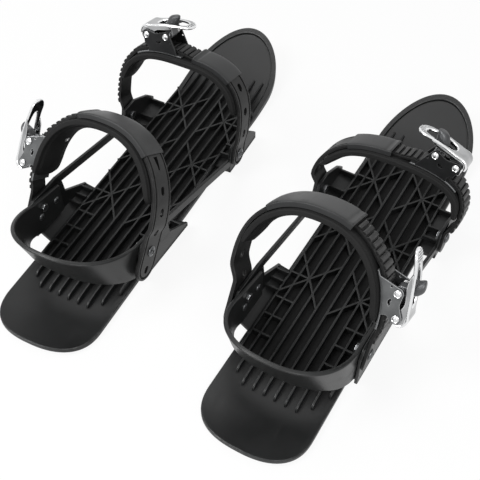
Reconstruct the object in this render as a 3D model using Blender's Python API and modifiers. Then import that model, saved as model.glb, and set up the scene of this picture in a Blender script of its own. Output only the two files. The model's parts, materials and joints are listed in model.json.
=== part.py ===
"""Pair of short skiboards with heel loops and ratchet bindings. Metres, +Z up, +Y to the tips."""

import math

import bmesh
import bpy
import numpy as np
from mathutils import Matrix, Vector

# Stance of the pair
BOARD_SPACING = 0.2160
BOARD_STAGGER = 0.0026
TOE_OUT = math.radians(1.61)
CLEARANCE = 0.0003

# Deck plate
DECK_LENGTH = 0.4390
DECK_WIDTH = 0.0968
DECK_THICKNESS = 0.0055
TAIL_ROUND = 0.0410
TAIL_POWER = 2.4
TAIL_ROWS = 8
TAIL_CURVE_LENGTH = 0.0310
TAIL_CURVE_RADIUS = 0.1000
TIP_ROUND = 0.0680
TIP_ROWS = 12
TIP_CURVE_LENGTH = 0.0980
TIP_CURVE_RADIUS = 0.1700
RIM_WIDTH = 0.0050
RIM_STEP_WIDTH = 0.0012
RIM_HEIGHT = 0.0016
RIM_RUN_IN = 0.0240

# Ribs of the deck
RIB_PITCH = 0.0100
RIB_THICKNESS = 0.0019
RIB_TOP = 0.0120
RIB_RAMP = 0.0270
RIB_RAMP_SHARES = (1.0, 0.6, 0.25)
CURVE_ROWS = 4
LONG_RIBS = 4
STAR_COUNT = 3
LONG_RIB_TAIL_GAP = 0.0535
OUTER_RIB_TAIL_GAP = 0.0620
EDGE_RIB_INSET = 0.0050
EDGE_RIB_TAIL_GAP = 0.0780
RIB_TIP_GAP = 0.0520
STAR_OFFSET = 0.0250
STAR_ARM_X = 0.0200
STAR_ARM_Y = 0.0270
STAR_REAR_Y = -0.0448
STAR_PITCH = 0.0698
CROSS_RIB_PITCH = 0.0205
CROSS_RIB_FIRST_Y = -0.0755
CROSS_RIB_COUNT = 3

# Ears and struts moulded on the deck
EAR_WALL = 0.0030
EAR_FLOOR_THICKNESS = 0.0045
EAR_FLOOR_ROOT = 0.0035
REAR_EAR_FRONT_Y = -0.0425
REAR_EAR_BACK_Y = -0.1230
REAR_EAR_TOP = 0.0570
REAR_EAR_CORNER = 0.0060
REAR_FLOOR_BACK_Y = -0.1180
REAR_FLOOR_BACK_Z = 0.0145
REAR_FLOOR_FRONT_Z = 0.0065
REAR_EAR_NOSE_Z = 0.0300
REAR_EAR_RIBS = (-0.0500, -0.0605, -0.0710)
FRONT_EAR_REACH = 0.0140
FRONT_EAR_BACK_Y = 0.0375
FRONT_EAR_FRONT_Y = 0.0945
FRONT_EAR_TOP = 0.0360
FRONT_EAR_FLAT = 0.0090
FRONT_EAR_SHOULDER_Z = 0.0240
FRONT_EAR_NOSE_Z = 0.0140
FRONT_EAR_NOSE_RUN = 0.0110
FRONT_FLOOR_Z = 0.0060
FRONT_EAR_RIBS = (0.0515, 0.0645, 0.0895)
EAR_RIB_FOOT = 0.0066
EAR_RIB_TOP = 0.0150
STRUT_HEIGHT = 0.0085
STRUT_SOCKET = 0.0072
STRUT_REAR_Y = -0.0765
STRUT_REAR_Z = 0.0515
STRUT_FRONT_Z = 0.0170

# Heel loop
BAND_THICKNESS = 0.0038
BAND_CHAMFER = 0.0009
WING_GAP = 0.0028
WING_FRONT_Y = -0.0845
LOOP_START_Y = -0.1210
LOOP_DEPTH_TOP = 0.0555
LOOP_DEPTH_BOTTOM = 0.0395
LOOP_POWER = 0.83
LOOP_ROWS = 11
WING_FRONT_TOP = 0.0500
WING_FRONT_BOTTOM = 0.0170
LOOP_START_TOP = 0.0580
LOOP_START_BOTTOM = 0.0190
LOOP_REAR_TOP = 0.0820
LOOP_REAR_BOTTOM = 0.0400
HEEL_BOLT_FRONT_Y = -0.0935
HEEL_BOLT_REAR_Y = -0.1165
HEEL_BOLT_Z = 0.0380

# Fasteners
SHANK_RADIUS = 0.0025
BOLT_HEAD_RADIUS = 0.0050
BOLT_HEAD_HEIGHT = 0.0022
HEEL_HEAD_RADIUS = 0.0036
HEEL_HEAD_HEIGHT = 0.0018
NUT_RADIUS = 0.0042
NUT_HEIGHT = 0.0028
INSERT_RADIUS = 0.0038
INSERT_HEIGHT = 0.0014
HOLE_MARGIN = 0.0004
CUTTER_REACH = 0.0050
HEAD_CROWN_SHARE = 0.65
HEAD_SHOULDER_SHARE = 0.85
HEAD_RIM_SHARE = 0.35

# Strap arches: pivot, lean from level and shape above the pivot
ANKLE_PIVOT_Y = -0.1115
ANKLE_PIVOT_Z = 0.0465
ANKLE_LEAN = {"left": math.radians(54.5), "right": math.radians(61.1)}
ANKLE_RISE = {"left": 0.0725, "right": 0.0687}
ANKLE_SEAT = 0.0150
ANKLE_SIDE = {"left": 0.0240, "right": 0.0322}
ANKLE_BULGE = {"left": (0.0022, 0.0008), "right": (0.0066, 0.0008)}
ANKLE_POWER = {"left": 0.855, "right": 0.885}
ANKLE_SWAY = {"left": 0.0038, "right": -0.0044}
TOE_PIVOT_Y = 0.0505
TOE_PIVOT_Z = 0.0240
TOE_LEAN = {"left": math.radians(74.4), "right": math.radians(71.6)}
TOE_RISE = {"left": 0.0642, "right": 0.0456}
TOE_SEAT = 0.0080
TOE_SIDE = {"left": 0.0207, "right": 0.0180}
TOE_BULGE = {"left": (0.0016, 0.0042), "right": (0.0066, 0.0046)}
TOE_POWER = {"left": 0.67, "right": 0.745}
TOE_SWAY = {"left": 0.0006, "right": 0.0082}
PATH_FOOT = 0.0800
PATH_POINTS = 120
PATH_SIDE_POINTS = 12
PATH_PROBE = 0.0010
END_SPARE = 0.0012

# Straps, liners and covers
STRAP_THICKNESS = 0.0035
STRAP_CHAMFER = 0.0008
ROUND_END_SHARES = (0.12, 0.32, 0.62)
ROUND_END_LEAST = 0.25
ANKLE_STRAP_WIDTH = 0.0300
TOE_STRAP_WIDTH = 0.0240
STRAP_HOLE_LENGTH = 0.0075
STRAP_HOLE_WIDTH = 0.0055
ANKLE_STRAP_TAIL = 0.0290
ANKLE_HOLE_PITCH = 0.0180
TOE_STRAP_TAIL = 0.0130
TOE_HOLE_PITCH = 0.0230
LINER_THICKNESS = 0.0075
LINER_GAP = 0.0005
LINER_CROWN = 0.0015
LINER_MARGIN = 0.0050
LINER_GROOVE_WIDTH = 0.0012
LINER_GROOVE_DEPTH = 0.0012
LINER_EDGE = 0.0020
LINER_LIP = 0.0008
LINER_END_TAPER = 0.0160
LINER_END_THICKNESS = 0.45
LINER_END_WIDTH = 0.80
ANKLE_LINER_INNER = 0.0880
ANKLE_LINER_OUTER = 0.1000
TOE_LINER_INNER = 0.0840
TOE_LINER_OUTER = 0.0860
COVER_OVERHANG = 0.0036
COVER_WALL = 0.0016
COVER_BEVEL = 0.0020
ANKLE_COVER_CENTRE = -0.0130
ANKLE_COVER_LENGTH = 0.0710
TOE_COVER_CENTRE = -0.0310
TOE_COVER_LENGTH = 0.0400

# Ladders
TOOTH_PITCH = 0.0055
TOOTH_HEIGHT = 0.0017
TOOTH_FACE = 0.0008
LADDER_THICKNESS = 0.0025
LADDER_WIDTH = 0.0200
LADDER_TAIL = 0.0150
LADDER_RAMP = 0.0100
TOOTH_FREE_END = 0.0120

# Ratchet buckles
ANKLE_BUCKLE_PLACE = {"left": 0.0850, "right": 0.0845}
TOE_BUCKLE_PLACE = {"left": 0.0270, "right": 0.0330}
ANKLE_LEVER_LENGTH = 0.0560
TOE_LEVER_LENGTH = 0.0460
BASE_THICKNESS = 0.0015
BASE_FREE_LENGTH = 0.0260
BASE_HEEL_LENGTH = 0.0220
CHEEK_THICKNESS = 0.0016
CHEEK_FREE_RUN = 0.0040
CHEEK_HEEL_RUN = 0.0080
BUCKLE_WIDTH = 0.0256
PIN_SPACING = 0.0205
PIN_HEIGHT = {"ankle": 0.0130, "toe": 0.0165}
PIN_RADIUS = 0.0020
PIN_MARGIN = 0.0003
PIN_HEAD_RADIUS = 0.0031
PIN_HEAD_HEIGHT = 0.0013
PIN_HEAD_SHARE = 0.7
CHEEK_ROUND = 0.0045
LEVER_RISE = 0.0082
LEVER_BOW = 0.0020
LEVER_PLATE = 0.0026
LEVER_TIP_DROP = 0.0016
LEVER_TIP_RUN = 0.0060
LEVER_TIP_ROUND = 0.0100
LEVER_CURL = 0.0068
LEVER_HUB_RADIUS = 0.0046
LEVER_WINDOW_WIDTH = 0.0150
LEVER_WINDOW_END = 0.0080
ANKLE_TIP_BAR = 0.0125
TOE_TIP_BAR = 0.0070
FLANGE_THICKNESS = 0.0013
FLANGE_FOOT = 0.0052
FLANGE_RUN = 0.0110
FLANGE_SHARE = 0.66
DRIVE_REACH = 0.0068
DRIVE_TOOTH = 0.0016
DRIVE_SPREAD = 42
DRIVE_TEETH = 3
TAB_WIDTH = 0.0110
TAB_HUB_RADIUS = 0.0038
TAB_NECK = 0.0062
TAB_NECK_HALF = 0.0030
DOME_LENGTH = 0.0132
DOME_WIDTH = 0.0112
DOME_ROOT = 0.0046
DOME_TOP = 0.0180
DOME_LEAN = 0.0070
DOME_SECTIONS = 5
DOME_POINTS = 8
DOME_TIP_SHARE = 0.30
DOME_WAIST_SHARE = 0.60
PAWL_REACH = 0.0072
PAWL_NOSE = 0.0056
PAWL_FACE = 0.0020
PAWL_FLOOR = 0.0064
TAB_HUB_END = 290
SPRING_WIRE = 0.0009
SPRING_TURNS = 3
SPRING_PITCH = 0.0014
SPRING_LEG = 0.0040
SPRING_POINTS = 8

# Facets of round pieces and working distances
TURN_STEPS = 8
HOLE_STEPS = 12
SLOT_STEPS = 4
CHEEK_STEPS = 4
HUB_STEPS = 3
TIP_STEPS = 6
FLAT_ANGLE = math.radians(0.1)
SMOOTH_ANGLE = math.radians(35)
MERGE_DISTANCE = 0.00001
SLIVER = 0.000005
SHORTEST_EDGE = 0.000002
AXIS_SIZE = 0.02

half_width = DECK_WIDTH / 2
wing_inner = half_width + WING_GAP
wing_outer = wing_inner + BAND_THICKNESS
rear_wall_inner = wing_outer + CLEARANCE
rear_wall_outer = rear_wall_inner + EAR_WALL
front_wall_outer = half_width + FRONT_EAR_REACH
front_wall_inner = front_wall_outer - EAR_WALL
shank_hole = SHANK_RADIUS + HOLE_MARGIN
pin_hole = PIN_RADIUS + PIN_MARGIN
edge_rib_x = half_width - EDGE_RIB_INSET
tail_y = -DECK_LENGTH / 2
tip_y = DECK_LENGTH / 2
tooth_tip = LADDER_THICKNESS + TOOTH_HEIGHT
ladder_lift = BASE_THICKNESS + CLEARANCE
lever_half_width = BUCKLE_WIDTH / 2 - CHEEK_THICKNESS - CLEARANCE

for old in list(bpy.data.objects):
    bpy.data.objects.remove(old, do_unlink=True)

parts = bpy.data.collections.new("pair_of_skiboards")
bench = bpy.data.collections.new("cutters")
bpy.context.scene.collection.children.link(parts)
bpy.context.scene.collection.children.link(bench)


def material(name, colour, roughness, metallic):
    surface = bpy.data.materials.new(name)
    surface.use_nodes = True
    shader = surface.node_tree.nodes["Principled BSDF"]
    shader.inputs["Base Color"].default_value = (*colour, 1.0)
    shader.inputs["Roughness"].default_value = roughness
    shader.inputs["Metallic"].default_value = metallic
    return surface


DECK_NYLON = material("deck_nylon", (0.022, 0.023, 0.024), 0.45, 0.0)
LOOP_NYLON = material("loop_nylon", (0.030, 0.031, 0.032), 0.38, 0.0)
STRAP_PLASTIC = material("strap_plastic", (0.026, 0.026, 0.027), 0.42, 0.0)
LINER_FOAM = material("liner_foam", (0.016, 0.016, 0.016), 0.75, 0.0)
COVER_PLASTIC = material("cover_plastic", (0.034, 0.035, 0.036), 0.40, 0.0)
LADDER_PLASTIC = material("ladder_plastic", (0.020, 0.020, 0.020), 0.35, 0.0)
BUCKLE_STEEL = material("buckle_steel", (0.300, 0.305, 0.310), 0.35, 0.9)
LEVER_CHROME = material("lever_chrome", (0.780, 0.785, 0.790), 0.12, 1.0)
TAB_GREY = material("tab_grey", (0.095, 0.100, 0.105), 0.40, 0.2)
BOLT_STEEL = material("bolt_steel", (0.090, 0.092, 0.095), 0.40, 0.9)
PIN_STEEL = material("pin_steel", (0.560, 0.565, 0.570), 0.25, 1.0)
SPRING_STEEL = material("spring_steel", (0.400, 0.400, 0.400), 0.35, 1.0)


def placed(name, mesh, collection):
    obj = bpy.data.objects.new(name, mesh)
    collection.objects.link(obj)
    return obj


def solid_from(name, build):
    """Work piece on the bench whose mesh the function build fills."""
    mesh = bpy.data.meshes.new(name)
    shape = bmesh.new()
    build(shape)
    bmesh.ops.connect_verts_nonplanar(shape, angle_limit=FLAT_ANGLE, faces=shape.faces)
    bmesh.ops.recalc_face_normals(shape, faces=shape.faces)
    shape.to_mesh(mesh)
    shape.free()
    return placed(name, mesh, bench)


def rod(radius, start, end, steps=HOLE_STEPS):
    """Cylinder between two points."""
    start, end = Vector(start), Vector(end)
    turn = (end - start).to_track_quat("Z", "Y").to_matrix().to_4x4()
    frame = Matrix.Translation((start + end) / 2) @ turn

    def build(shape):
        bmesh.ops.create_cone(shape, cap_ends=True, segments=steps, radius1=radius, radius2=radius,
                              depth=(end - start).length, matrix=frame)

    return solid_from("rod", build)


def loft(rings):
    """Closed solid through rings of points, each ring with as many points as the next."""

    def build(shape):
        rows = [[shape.verts.new(point) for point in ring] for ring in rings]
        for row, following in zip(rows, rows[1:]):
            for i in range(len(row)):
                j = (i + 1) % len(row)
                shape.faces.new((row[i], row[j], following[j], following[i]))
        shape.faces.new(rows[0][::-1])
        shape.faces.new(rows[-1])

    return solid_from("loft", build)


def as_mesh(obj):
    """Bench mesh object of what an object evaluates to, with the object removed."""
    bpy.context.view_layer.update()
    graph = bpy.context.evaluated_depsgraph_get()
    mesh = bpy.data.meshes.new_from_object(obj.evaluated_get(graph))
    mesh.transform(obj.matrix_world)
    shape = bmesh.new()
    shape.from_mesh(mesh)
    bmesh.ops.remove_doubles(shape, verts=shape.verts, dist=MERGE_DISTANCE)
    bmesh.ops.dissolve_degenerate(shape, edges=shape.edges, dist=SHORTEST_EDGE)
    bmesh.ops.dissolve_limit(shape, angle_limit=FLAT_ANGLE, verts=shape.verts, edges=shape.edges)
    bmesh.ops.recalc_face_normals(shape, faces=shape.faces)
    shape.to_mesh(mesh)
    shape.free()
    bpy.data.objects.remove(obj, do_unlink=True)
    return placed("shape", mesh, bench)


def slab(outlines, thickness, frame):
    """Plate of closed outlines whose middle is the frame's XY plane; inner outlines are holes."""
    curve = bpy.data.curves.new("outline", "CURVE")
    curve.dimensions = "2D"
    curve.fill_mode = "BOTH"
    curve.extrude = thickness / 2
    for outline in outlines:
        spline = curve.splines.new("POLY")
        spline.points.add(len(outline) - 1)
        for point, place in zip(spline.points, outline):
            point.co = (place[0], place[1], 0, 1)
        spline.use_cyclic_u = True
    guide = placed("outline", curve, bench)
    guide.matrix_world = frame
    return as_mesh(guide)


def turned(profile, steps=TURN_STEPS):
    """Solid of revolution about Z; the profile of (radius, z) runs down its outer side."""
    mesh = bpy.data.meshes.new("profile")
    points = [(radius, 0, z) for radius, z in profile]
    mesh.from_pydata(points, [(i, i + 1) for i in range(len(points) - 1)], [])
    obj = placed("profile", mesh, bench)
    screw = obj.modifiers.new("Screw", "SCREW")
    screw.axis = "Z"
    screw.steps = steps
    screw.render_steps = steps
    screw.use_merge_vertices = True
    screw.merge_threshold = MERGE_DISTANCE
    return as_mesh(obj)


def combined(base, add=(), cut=()):
    """Base with the solids in add joined to it and then those in cut taken away."""
    for solids, operation in ((add, "UNION"), (cut, "DIFFERENCE")):
        if not solids:
            continue
        group = bpy.data.collections.new(operation.lower())
        bench.children.link(group)
        for tool in solids:
            bench.objects.unlink(tool)
            group.objects.link(tool)
            tool.hide_render = True
            tool.display_type = "WIRE"
        boolean = base.modifiers.new(operation, "BOOLEAN")
        boolean.operation = operation
        boolean.solver = "EXACT"
        boolean.operand_type = "COLLECTION"
        boolean.collection = group
        base = as_mesh(base)
        for tool in list(group.objects):
            bpy.data.objects.remove(tool, do_unlink=True)
        bpy.data.collections.remove(group)
    return base


def node(name, solid, parent, surface, place=(0, 0, 0), mirrored=False):
    """Named part from a bench solid, with its origin at place in the parent's space."""
    mesh = solid.data
    mesh.name = name
    mesh.transform(Matrix.Translation(-Vector(place)))
    if mirrored:
        mesh.transform(Matrix.Diagonal((-1, 1, 1, 1)))
        mesh.flip_normals()
        place = (-place[0], place[1], place[2])
    mesh.materials.clear()
    mesh.materials.append(surface)
    mesh.shade_smooth()
    mesh.set_sharp_from_angle(angle=SMOOTH_ANGLE)
    bpy.data.objects.remove(solid, do_unlink=True)
    obj = placed(name, mesh, parts)
    obj.parent = parent
    obj.location = place
    return obj


def axis_frame(name, parent, place, turn=0.0):
    """Empty on a joint's axis, turned about its own X."""
    empty = bpy.data.objects.new(name, None)
    empty.empty_display_size = AXIS_SIZE
    empty.parent = parent
    empty.location = place
    empty.rotation_euler = (turn, 0, 0)
    parts.objects.link(empty)
    return empty


def arc(centre, radius, start, end, count):
    """Points of a circle's arc, angles in degrees."""
    angles = np.radians(np.linspace(start, end, count))
    return [(centre[0] + radius * math.cos(a), centre[1] + radius * math.sin(a)) for a in angles]


def circle(centre, radius, steps=HOLE_STEPS):
    return arc(centre, radius, 0, 360, steps + 1)[:-1]


def stadium(centre, length, width, steps=SLOT_STEPS):
    """Slot outline along the first axis."""
    reach = (length - width) / 2
    right = arc((centre[0] + reach, centre[1]), width / 2, -90, 90, steps)
    left = arc((centre[0] - reach, centre[1]), width / 2, 90, 270, steps)
    return right + left


def side_frame(x):
    """Frame whose XY plane is the board's YZ plane at x."""
    return Matrix(((0, 0, 1, x), (1, 0, 0, 0), (0, 1, 0, 0), (0, 0, 0, 1)))


def underside(y):
    """Height of the running surface, which curves up at the tip and a little at the tail."""
    tip = max(0.0, y - (tip_y - TIP_CURVE_LENGTH))
    tail = max(0.0, tail_y + TAIL_CURVE_LENGTH - y)
    rise = TIP_CURVE_RADIUS - math.sqrt(TIP_CURVE_RADIUS ** 2 - tip ** 2)
    return rise + TAIL_CURVE_RADIUS - math.sqrt(TAIL_CURVE_RADIUS ** 2 - tail ** 2)


def deck_outline():
    """Right half of the deck's plan outline, from the tail's middle to the tip's middle."""
    tail = []
    for a in np.linspace(0, math.pi / 2, TAIL_ROWS):
        x = half_width * math.sin(a) ** (2 / TAIL_POWER)
        y = tail_y + TAIL_ROUND * (1 - math.cos(a) ** (2 / TAIL_POWER))
        tail.append((x, y))
    curve_start = tip_y - TIP_CURVE_LENGTH
    sides = [(half_width, y) for y in np.linspace(curve_start, tip_y - TIP_ROUND, CURVE_ROWS)[:-1]]
    tip = []
    for a in np.linspace(0, math.pi / 2, TIP_ROWS):
        tip.append((half_width * math.cos(a), tip_y - TIP_ROUND * (1 - math.sin(a))))
    return tail + sides + tip


def inset(outline, distance):
    """Outline moved inwards by a distance, ending on the middle line."""
    moved = []
    for i, (x, y) in enumerate(outline):
        before = outline[max(i - 1, 0)]
        after = outline[min(i + 1, len(outline) - 1)]
        along = Vector((after[0] - before[0], after[1] - before[1])).normalized()
        if i == 0 or i == len(outline) - 1:
            along = Vector((1 if i == 0 else -1, 0))
        moved.append((max(x - distance * along.y, 0.0), y + distance * along.x))
    moved[0] = (0.0, moved[0][1])
    moved[-1] = (0.0, moved[-1][1])
    return moved


def deck_plate():
    """Plate with a raised rim round the scooped tip, lofted from tail to tip in rows across."""
    outline = deck_outline()
    lip = inset(outline, RIM_WIDTH)
    step = inset(outline, RIM_WIDTH + RIM_STEP_WIDTH)
    rim_start = tip_y - TIP_CURVE_LENGTH
    rows = []
    for (x, y), (lip_x, lip_y), (step_x, step_y) in zip(outline, lip, step):
        rim = RIM_HEIGHT * min(1.0, max(0.0, (y - rim_start) / RIM_RUN_IN))
        top = underside(y) + DECK_THICKNESS
        lip_top = underside(lip_y) + DECK_THICKNESS
        step_top = underside(step_y) + DECK_THICKNESS
        right = [(x, y, underside(y)), (x, y, top + rim)]
        right += [(lip_x, lip_y, lip_top + rim), (step_x, step_y, step_top)]
        left = [(-point[0], point[1], point[2]) for point in reversed(right)]
        rows.append(right + left)

    def build(shape):
        grid = [[shape.verts.new(point) for point in row] for row in rows]
        for row, following in zip(grid, grid[1:]):
            for i in range(len(row)):
                j = (i + 1) % len(row)
                shape.faces.new((row[i], row[j], following[j], following[i]))
        bmesh.ops.remove_doubles(shape, verts=shape.verts, dist=MERGE_DISTANCE)
        bmesh.ops.dissolve_degenerate(shape, edges=shape.edges, dist=SLIVER)

    return solid_from("deck_plate", build)


def long_rib(x, start, end):
    """Rib along the board with a ramped rear end, standing in the middle of the plate."""
    low = DECK_THICKNESS / 2
    curve_start = tip_y - TIP_CURVE_LENGTH
    base = [y for y in np.linspace(curve_start, end, CURVE_ROWS) if y > start]
    bottom = [(start, low)] + [(y, underside(y) + low) for y in base]
    ramp = []
    for k in RIB_RAMP_SHARES:
        ramp.append((start + RIB_RAMP * k, low + (RIB_TOP - low) * math.sin(k * math.pi / 2)))
    front_top = max(RIB_TOP, underside(end) + low + RIB_THICKNESS)
    outline = bottom + [(end, front_top)] + ramp
    return slab([outline], RIB_THICKNESS, side_frame(x))


def wall(start, end, thickness=RIB_THICKNESS, bottom=DECK_THICKNESS / 2, top=RIB_TOP):
    """Upright wall between two plan points."""
    start, end = Vector(start), Vector(end)
    across = (end - start).orthogonal().normalized() * (thickness / 2)
    corners = [start - across, end - across, end + across, start + across]
    frame = Matrix.Translation((0, 0, (bottom + top) / 2))
    return slab([[tuple(corner) for corner in corners]], top - bottom, frame)


def deck_ribs():
    """Lattice on the deck: ribs along it, six stars and short cross ribs."""
    ribs = []
    for k in range(LONG_RIBS):
        gap = OUTER_RIB_TAIL_GAP if k == LONG_RIBS - 1 else LONG_RIB_TAIL_GAP
        for side in (-1, 1):
            x = side * (RIB_PITCH / 2 + k * RIB_PITCH)
            ribs.append(long_rib(x, tail_y + gap, tip_y - RIB_TIP_GAP))
    for side in (-1, 1):
        ribs.append(long_rib(side * edge_rib_x, tail_y + EDGE_RIB_TAIL_GAP, tip_y - TIP_CURVE_LENGTH))
        for k in range(STAR_COUNT):
            middle = (side * STAR_OFFSET, STAR_REAR_Y + k * STAR_PITCH)
            for arm_x in (-STAR_ARM_X, STAR_ARM_X):
                low = (middle[0] + arm_x, middle[1] - STAR_ARM_Y)
                high = (middle[0] - arm_x, middle[1] + STAR_ARM_Y)
                ribs.append(wall(low, high))
            inside = middle[0] - side * RIB_THICKNESS / 4
            ribs.append(wall((inside, middle[1]), (side * edge_rib_x, middle[1])))
        for k in range(CROSS_RIB_COUNT):
            y = CROSS_RIB_FIRST_Y - k * CROSS_RIB_PITCH
            ribs.append(wall((side * STAR_OFFSET, y), (side * edge_rib_x, y)))
    return ribs


def ears(side):
    """Rear and front ears with their floors, walls and ribs, and the strut between them, for one side."""
    rear_middle = side * (rear_wall_inner + rear_wall_outer) / 2
    front_middle = side * (front_wall_inner + front_wall_outer) / 2
    rear_outline = [(REAR_EAR_BACK_Y, REAR_FLOOR_BACK_Z), (REAR_EAR_FRONT_Y, REAR_FLOOR_FRONT_Z),
                    (REAR_EAR_FRONT_Y, REAR_FLOOR_FRONT_Z + EAR_FLOOR_THICKNESS),
                    (STRUT_REAR_Y + REAR_EAR_CORNER / 2, REAR_EAR_NOSE_Z), (STRUT_REAR_Y, STRUT_REAR_Z),
                    (STRUT_REAR_Y - REAR_EAR_CORNER, STRUT_REAR_Z + STRUT_HEIGHT / 2),
                    (REAR_EAR_BACK_Y + REAR_EAR_CORNER, REAR_EAR_TOP),
                    (REAR_EAR_BACK_Y, REAR_EAR_TOP - REAR_EAR_CORNER)]
    front_outline = [(FRONT_EAR_BACK_Y, FRONT_FLOOR_Z), (FRONT_EAR_FRONT_Y, FRONT_FLOOR_Z),
                     (FRONT_EAR_FRONT_Y, FRONT_EAR_NOSE_Z),
                     (FRONT_EAR_FRONT_Y - FRONT_EAR_NOSE_RUN, FRONT_EAR_SHOULDER_Z),
                     (TOE_PIVOT_Y + FRONT_EAR_FLAT, FRONT_EAR_TOP),
                     (TOE_PIVOT_Y - FRONT_EAR_FLAT, FRONT_EAR_TOP),
                     (FRONT_EAR_BACK_Y, FRONT_EAR_SHOULDER_Z)]
    pieces = [slab([rear_outline], EAR_WALL, side_frame(rear_middle)),
              slab([front_outline], EAR_WALL, side_frame(front_middle))]
    rear_floor = ((REAR_FLOOR_BACK_Y, REAR_FLOOR_BACK_Z), (REAR_EAR_FRONT_Y, REAR_FLOOR_FRONT_Z))
    front_floor = ((FRONT_EAR_BACK_Y, FRONT_FLOOR_Z), (FRONT_EAR_FRONT_Y, FRONT_FLOOR_Z))
    for (back, front), outer in ((rear_floor, rear_wall_outer), (front_floor, front_wall_outer)):
        rings = []
        for y, z in (back, front):
            rings.append([(side * edge_rib_x, y, EAR_FLOOR_ROOT), (side * outer, y, z),
                          (side * outer, y, z + EAR_FLOOR_THICKNESS),
                          (side * edge_rib_x, y, EAR_FLOOR_ROOT + EAR_FLOOR_THICKNESS)])
        pieces.append(loft(rings))
    for places, outer in ((REAR_EAR_RIBS, rear_wall_outer), (FRONT_EAR_RIBS, front_wall_outer)):
        for y in places:
            pieces.append(wall((side * edge_rib_x, y), (side * (outer - EAR_WALL / 2), y),
                               bottom=EAR_RIB_FOOT, top=EAR_RIB_TOP))
    tall = STRUT_HEIGHT / 2
    corners = ((0, -tall), (EAR_WALL, -tall), (EAR_WALL, tall), (0, tall))
    rings = []
    for inner, y, z in ((rear_wall_inner, STRUT_REAR_Y - STRUT_SOCKET, STRUT_REAR_Z),
                        (front_wall_inner, FRONT_EAR_BACK_Y + STRUT_SOCKET, STRUT_FRONT_Z)):
        rings.append([(side * (inner + a), y, z + b) for a, b in corners])
    pieces.append(loft(rings))
    return pieces


def cross_holes(side, wall_outer, places, radius=shank_hole):
    """Cutters along X through one side's walls at (y, z) places."""
    return [rod(radius, (side * (half_width + CLEARANCE), y, z), (side * (wall_outer + CUTTER_REACH), y, z))
            for y, z in places]


heel_places = ((HEEL_BOLT_FRONT_Y, HEEL_BOLT_Z), (HEEL_BOLT_REAR_Y, HEEL_BOLT_Z))
ankle_place = (ANKLE_PIVOT_Y, ANKLE_PIVOT_Z)
toe_place = (TOE_PIVOT_Y, TOE_PIVOT_Z)


def deck():
    pieces = deck_ribs()
    holes = []
    for side in (-1, 1):
        pieces += ears(side)
        holes += cross_holes(side, rear_wall_outer, heel_places + (ankle_place,))
        holes += cross_holes(side, front_wall_outer, (toe_place,))
        seat = rear_wall_outer - INSERT_HEIGHT - CLEARANCE
        for y, z in heel_places:
            sink = (side * seat, y, z), (side * (seat + CUTTER_REACH), y, z)
            holes.append(rod(INSERT_RADIUS + HOLE_MARGIN, *sink))
    return combined(deck_plate(), add=pieces, cut=holes)


def heel_loop():
    """Band that leans back behind the heel, with straight wings bolted inside the rear ears."""
    wing = [(WING_FRONT_Y, WING_FRONT_TOP, WING_FRONT_BOTTOM),
            (LOOP_START_Y, LOOP_START_TOP, LOOP_START_BOTTOM)]
    half = []
    for y, top, bottom in wing:
        half.append(((wing_inner, y, bottom), (wing_inner, y, top), Vector((1, 0, 0))))
    for a in np.linspace(0, math.pi / 2, LOOP_ROWS)[1:]:
        c, s = max(math.cos(a), 0), math.sin(a)
        x = wing_inner * c ** LOOP_POWER
        back = s ** LOOP_POWER
        low = (x, LOOP_START_Y - LOOP_DEPTH_BOTTOM * back,
               LOOP_START_BOTTOM + (LOOP_REAR_BOTTOM - LOOP_START_BOTTOM) * back)
        high = (x, LOOP_START_Y - LOOP_DEPTH_TOP * back,
                LOOP_START_TOP + (LOOP_REAR_TOP - LOOP_START_TOP) * back)
        half.append((low, high, None))
    rings = []
    for i, (low, high, out) in enumerate(half):
        if out is None:
            before, after = half[i - 1][1], half[min(i + 1, len(half) - 1)][1]
            along = Vector((after[0] - before[0], after[1] - before[1], 0))
            out = Vector((-along.y, along.x, 0)).normalized()
            if out.x < 0:
                out = -out
            if i == len(half) - 1:
                out = Vector((0, -1, 0))
        low, high = Vector(low), Vector(high)
        up = (high - low).normalized() * BAND_CHAMFER
        ring = [low, high - up, high + out * BAND_CHAMFER, high + out * (BAND_THICKNESS - BAND_CHAMFER),
                high + out * BAND_THICKNESS - up, low + out * BAND_THICKNESS]
        rings.append([tuple(point) for point in ring])
    mirrored = [[(-x, y, z) for x, y, z in ring] for ring in rings[-2::-1]]
    holes = []
    for side in (-1, 1):
        holes += cross_holes(side, wing_outer, heel_places + (ankle_place,))
    return combined(loft(rings + mirrored), cut=holes)


def fastener(head_radius, head_height, grip, end_radius, end_height):
    """Bolt with its nut or insert: the head stands on z = 0, the grip runs down to the end piece."""
    profile = [(0, head_height), (head_radius * HEAD_CROWN_SHARE, head_height * HEAD_SHOULDER_SHARE),
               (head_radius, head_height * HEAD_RIM_SHARE), (head_radius, 0),
               (SHANK_RADIUS, 0), (SHANK_RADIUS, -grip), (end_radius, -grip),
               (end_radius, -grip - end_height), (0, -grip - end_height)]
    return turned(profile)


def turned_to_x(solid, side, x, y, z):
    """Solid of revolution with its head turned to the side given and its seat at x."""
    turn = Matrix.Rotation(side * math.pi / 2, 4, "Y")
    solid.data.transform(Matrix.Translation((x, y, z)) @ turn)
    return solid


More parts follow.
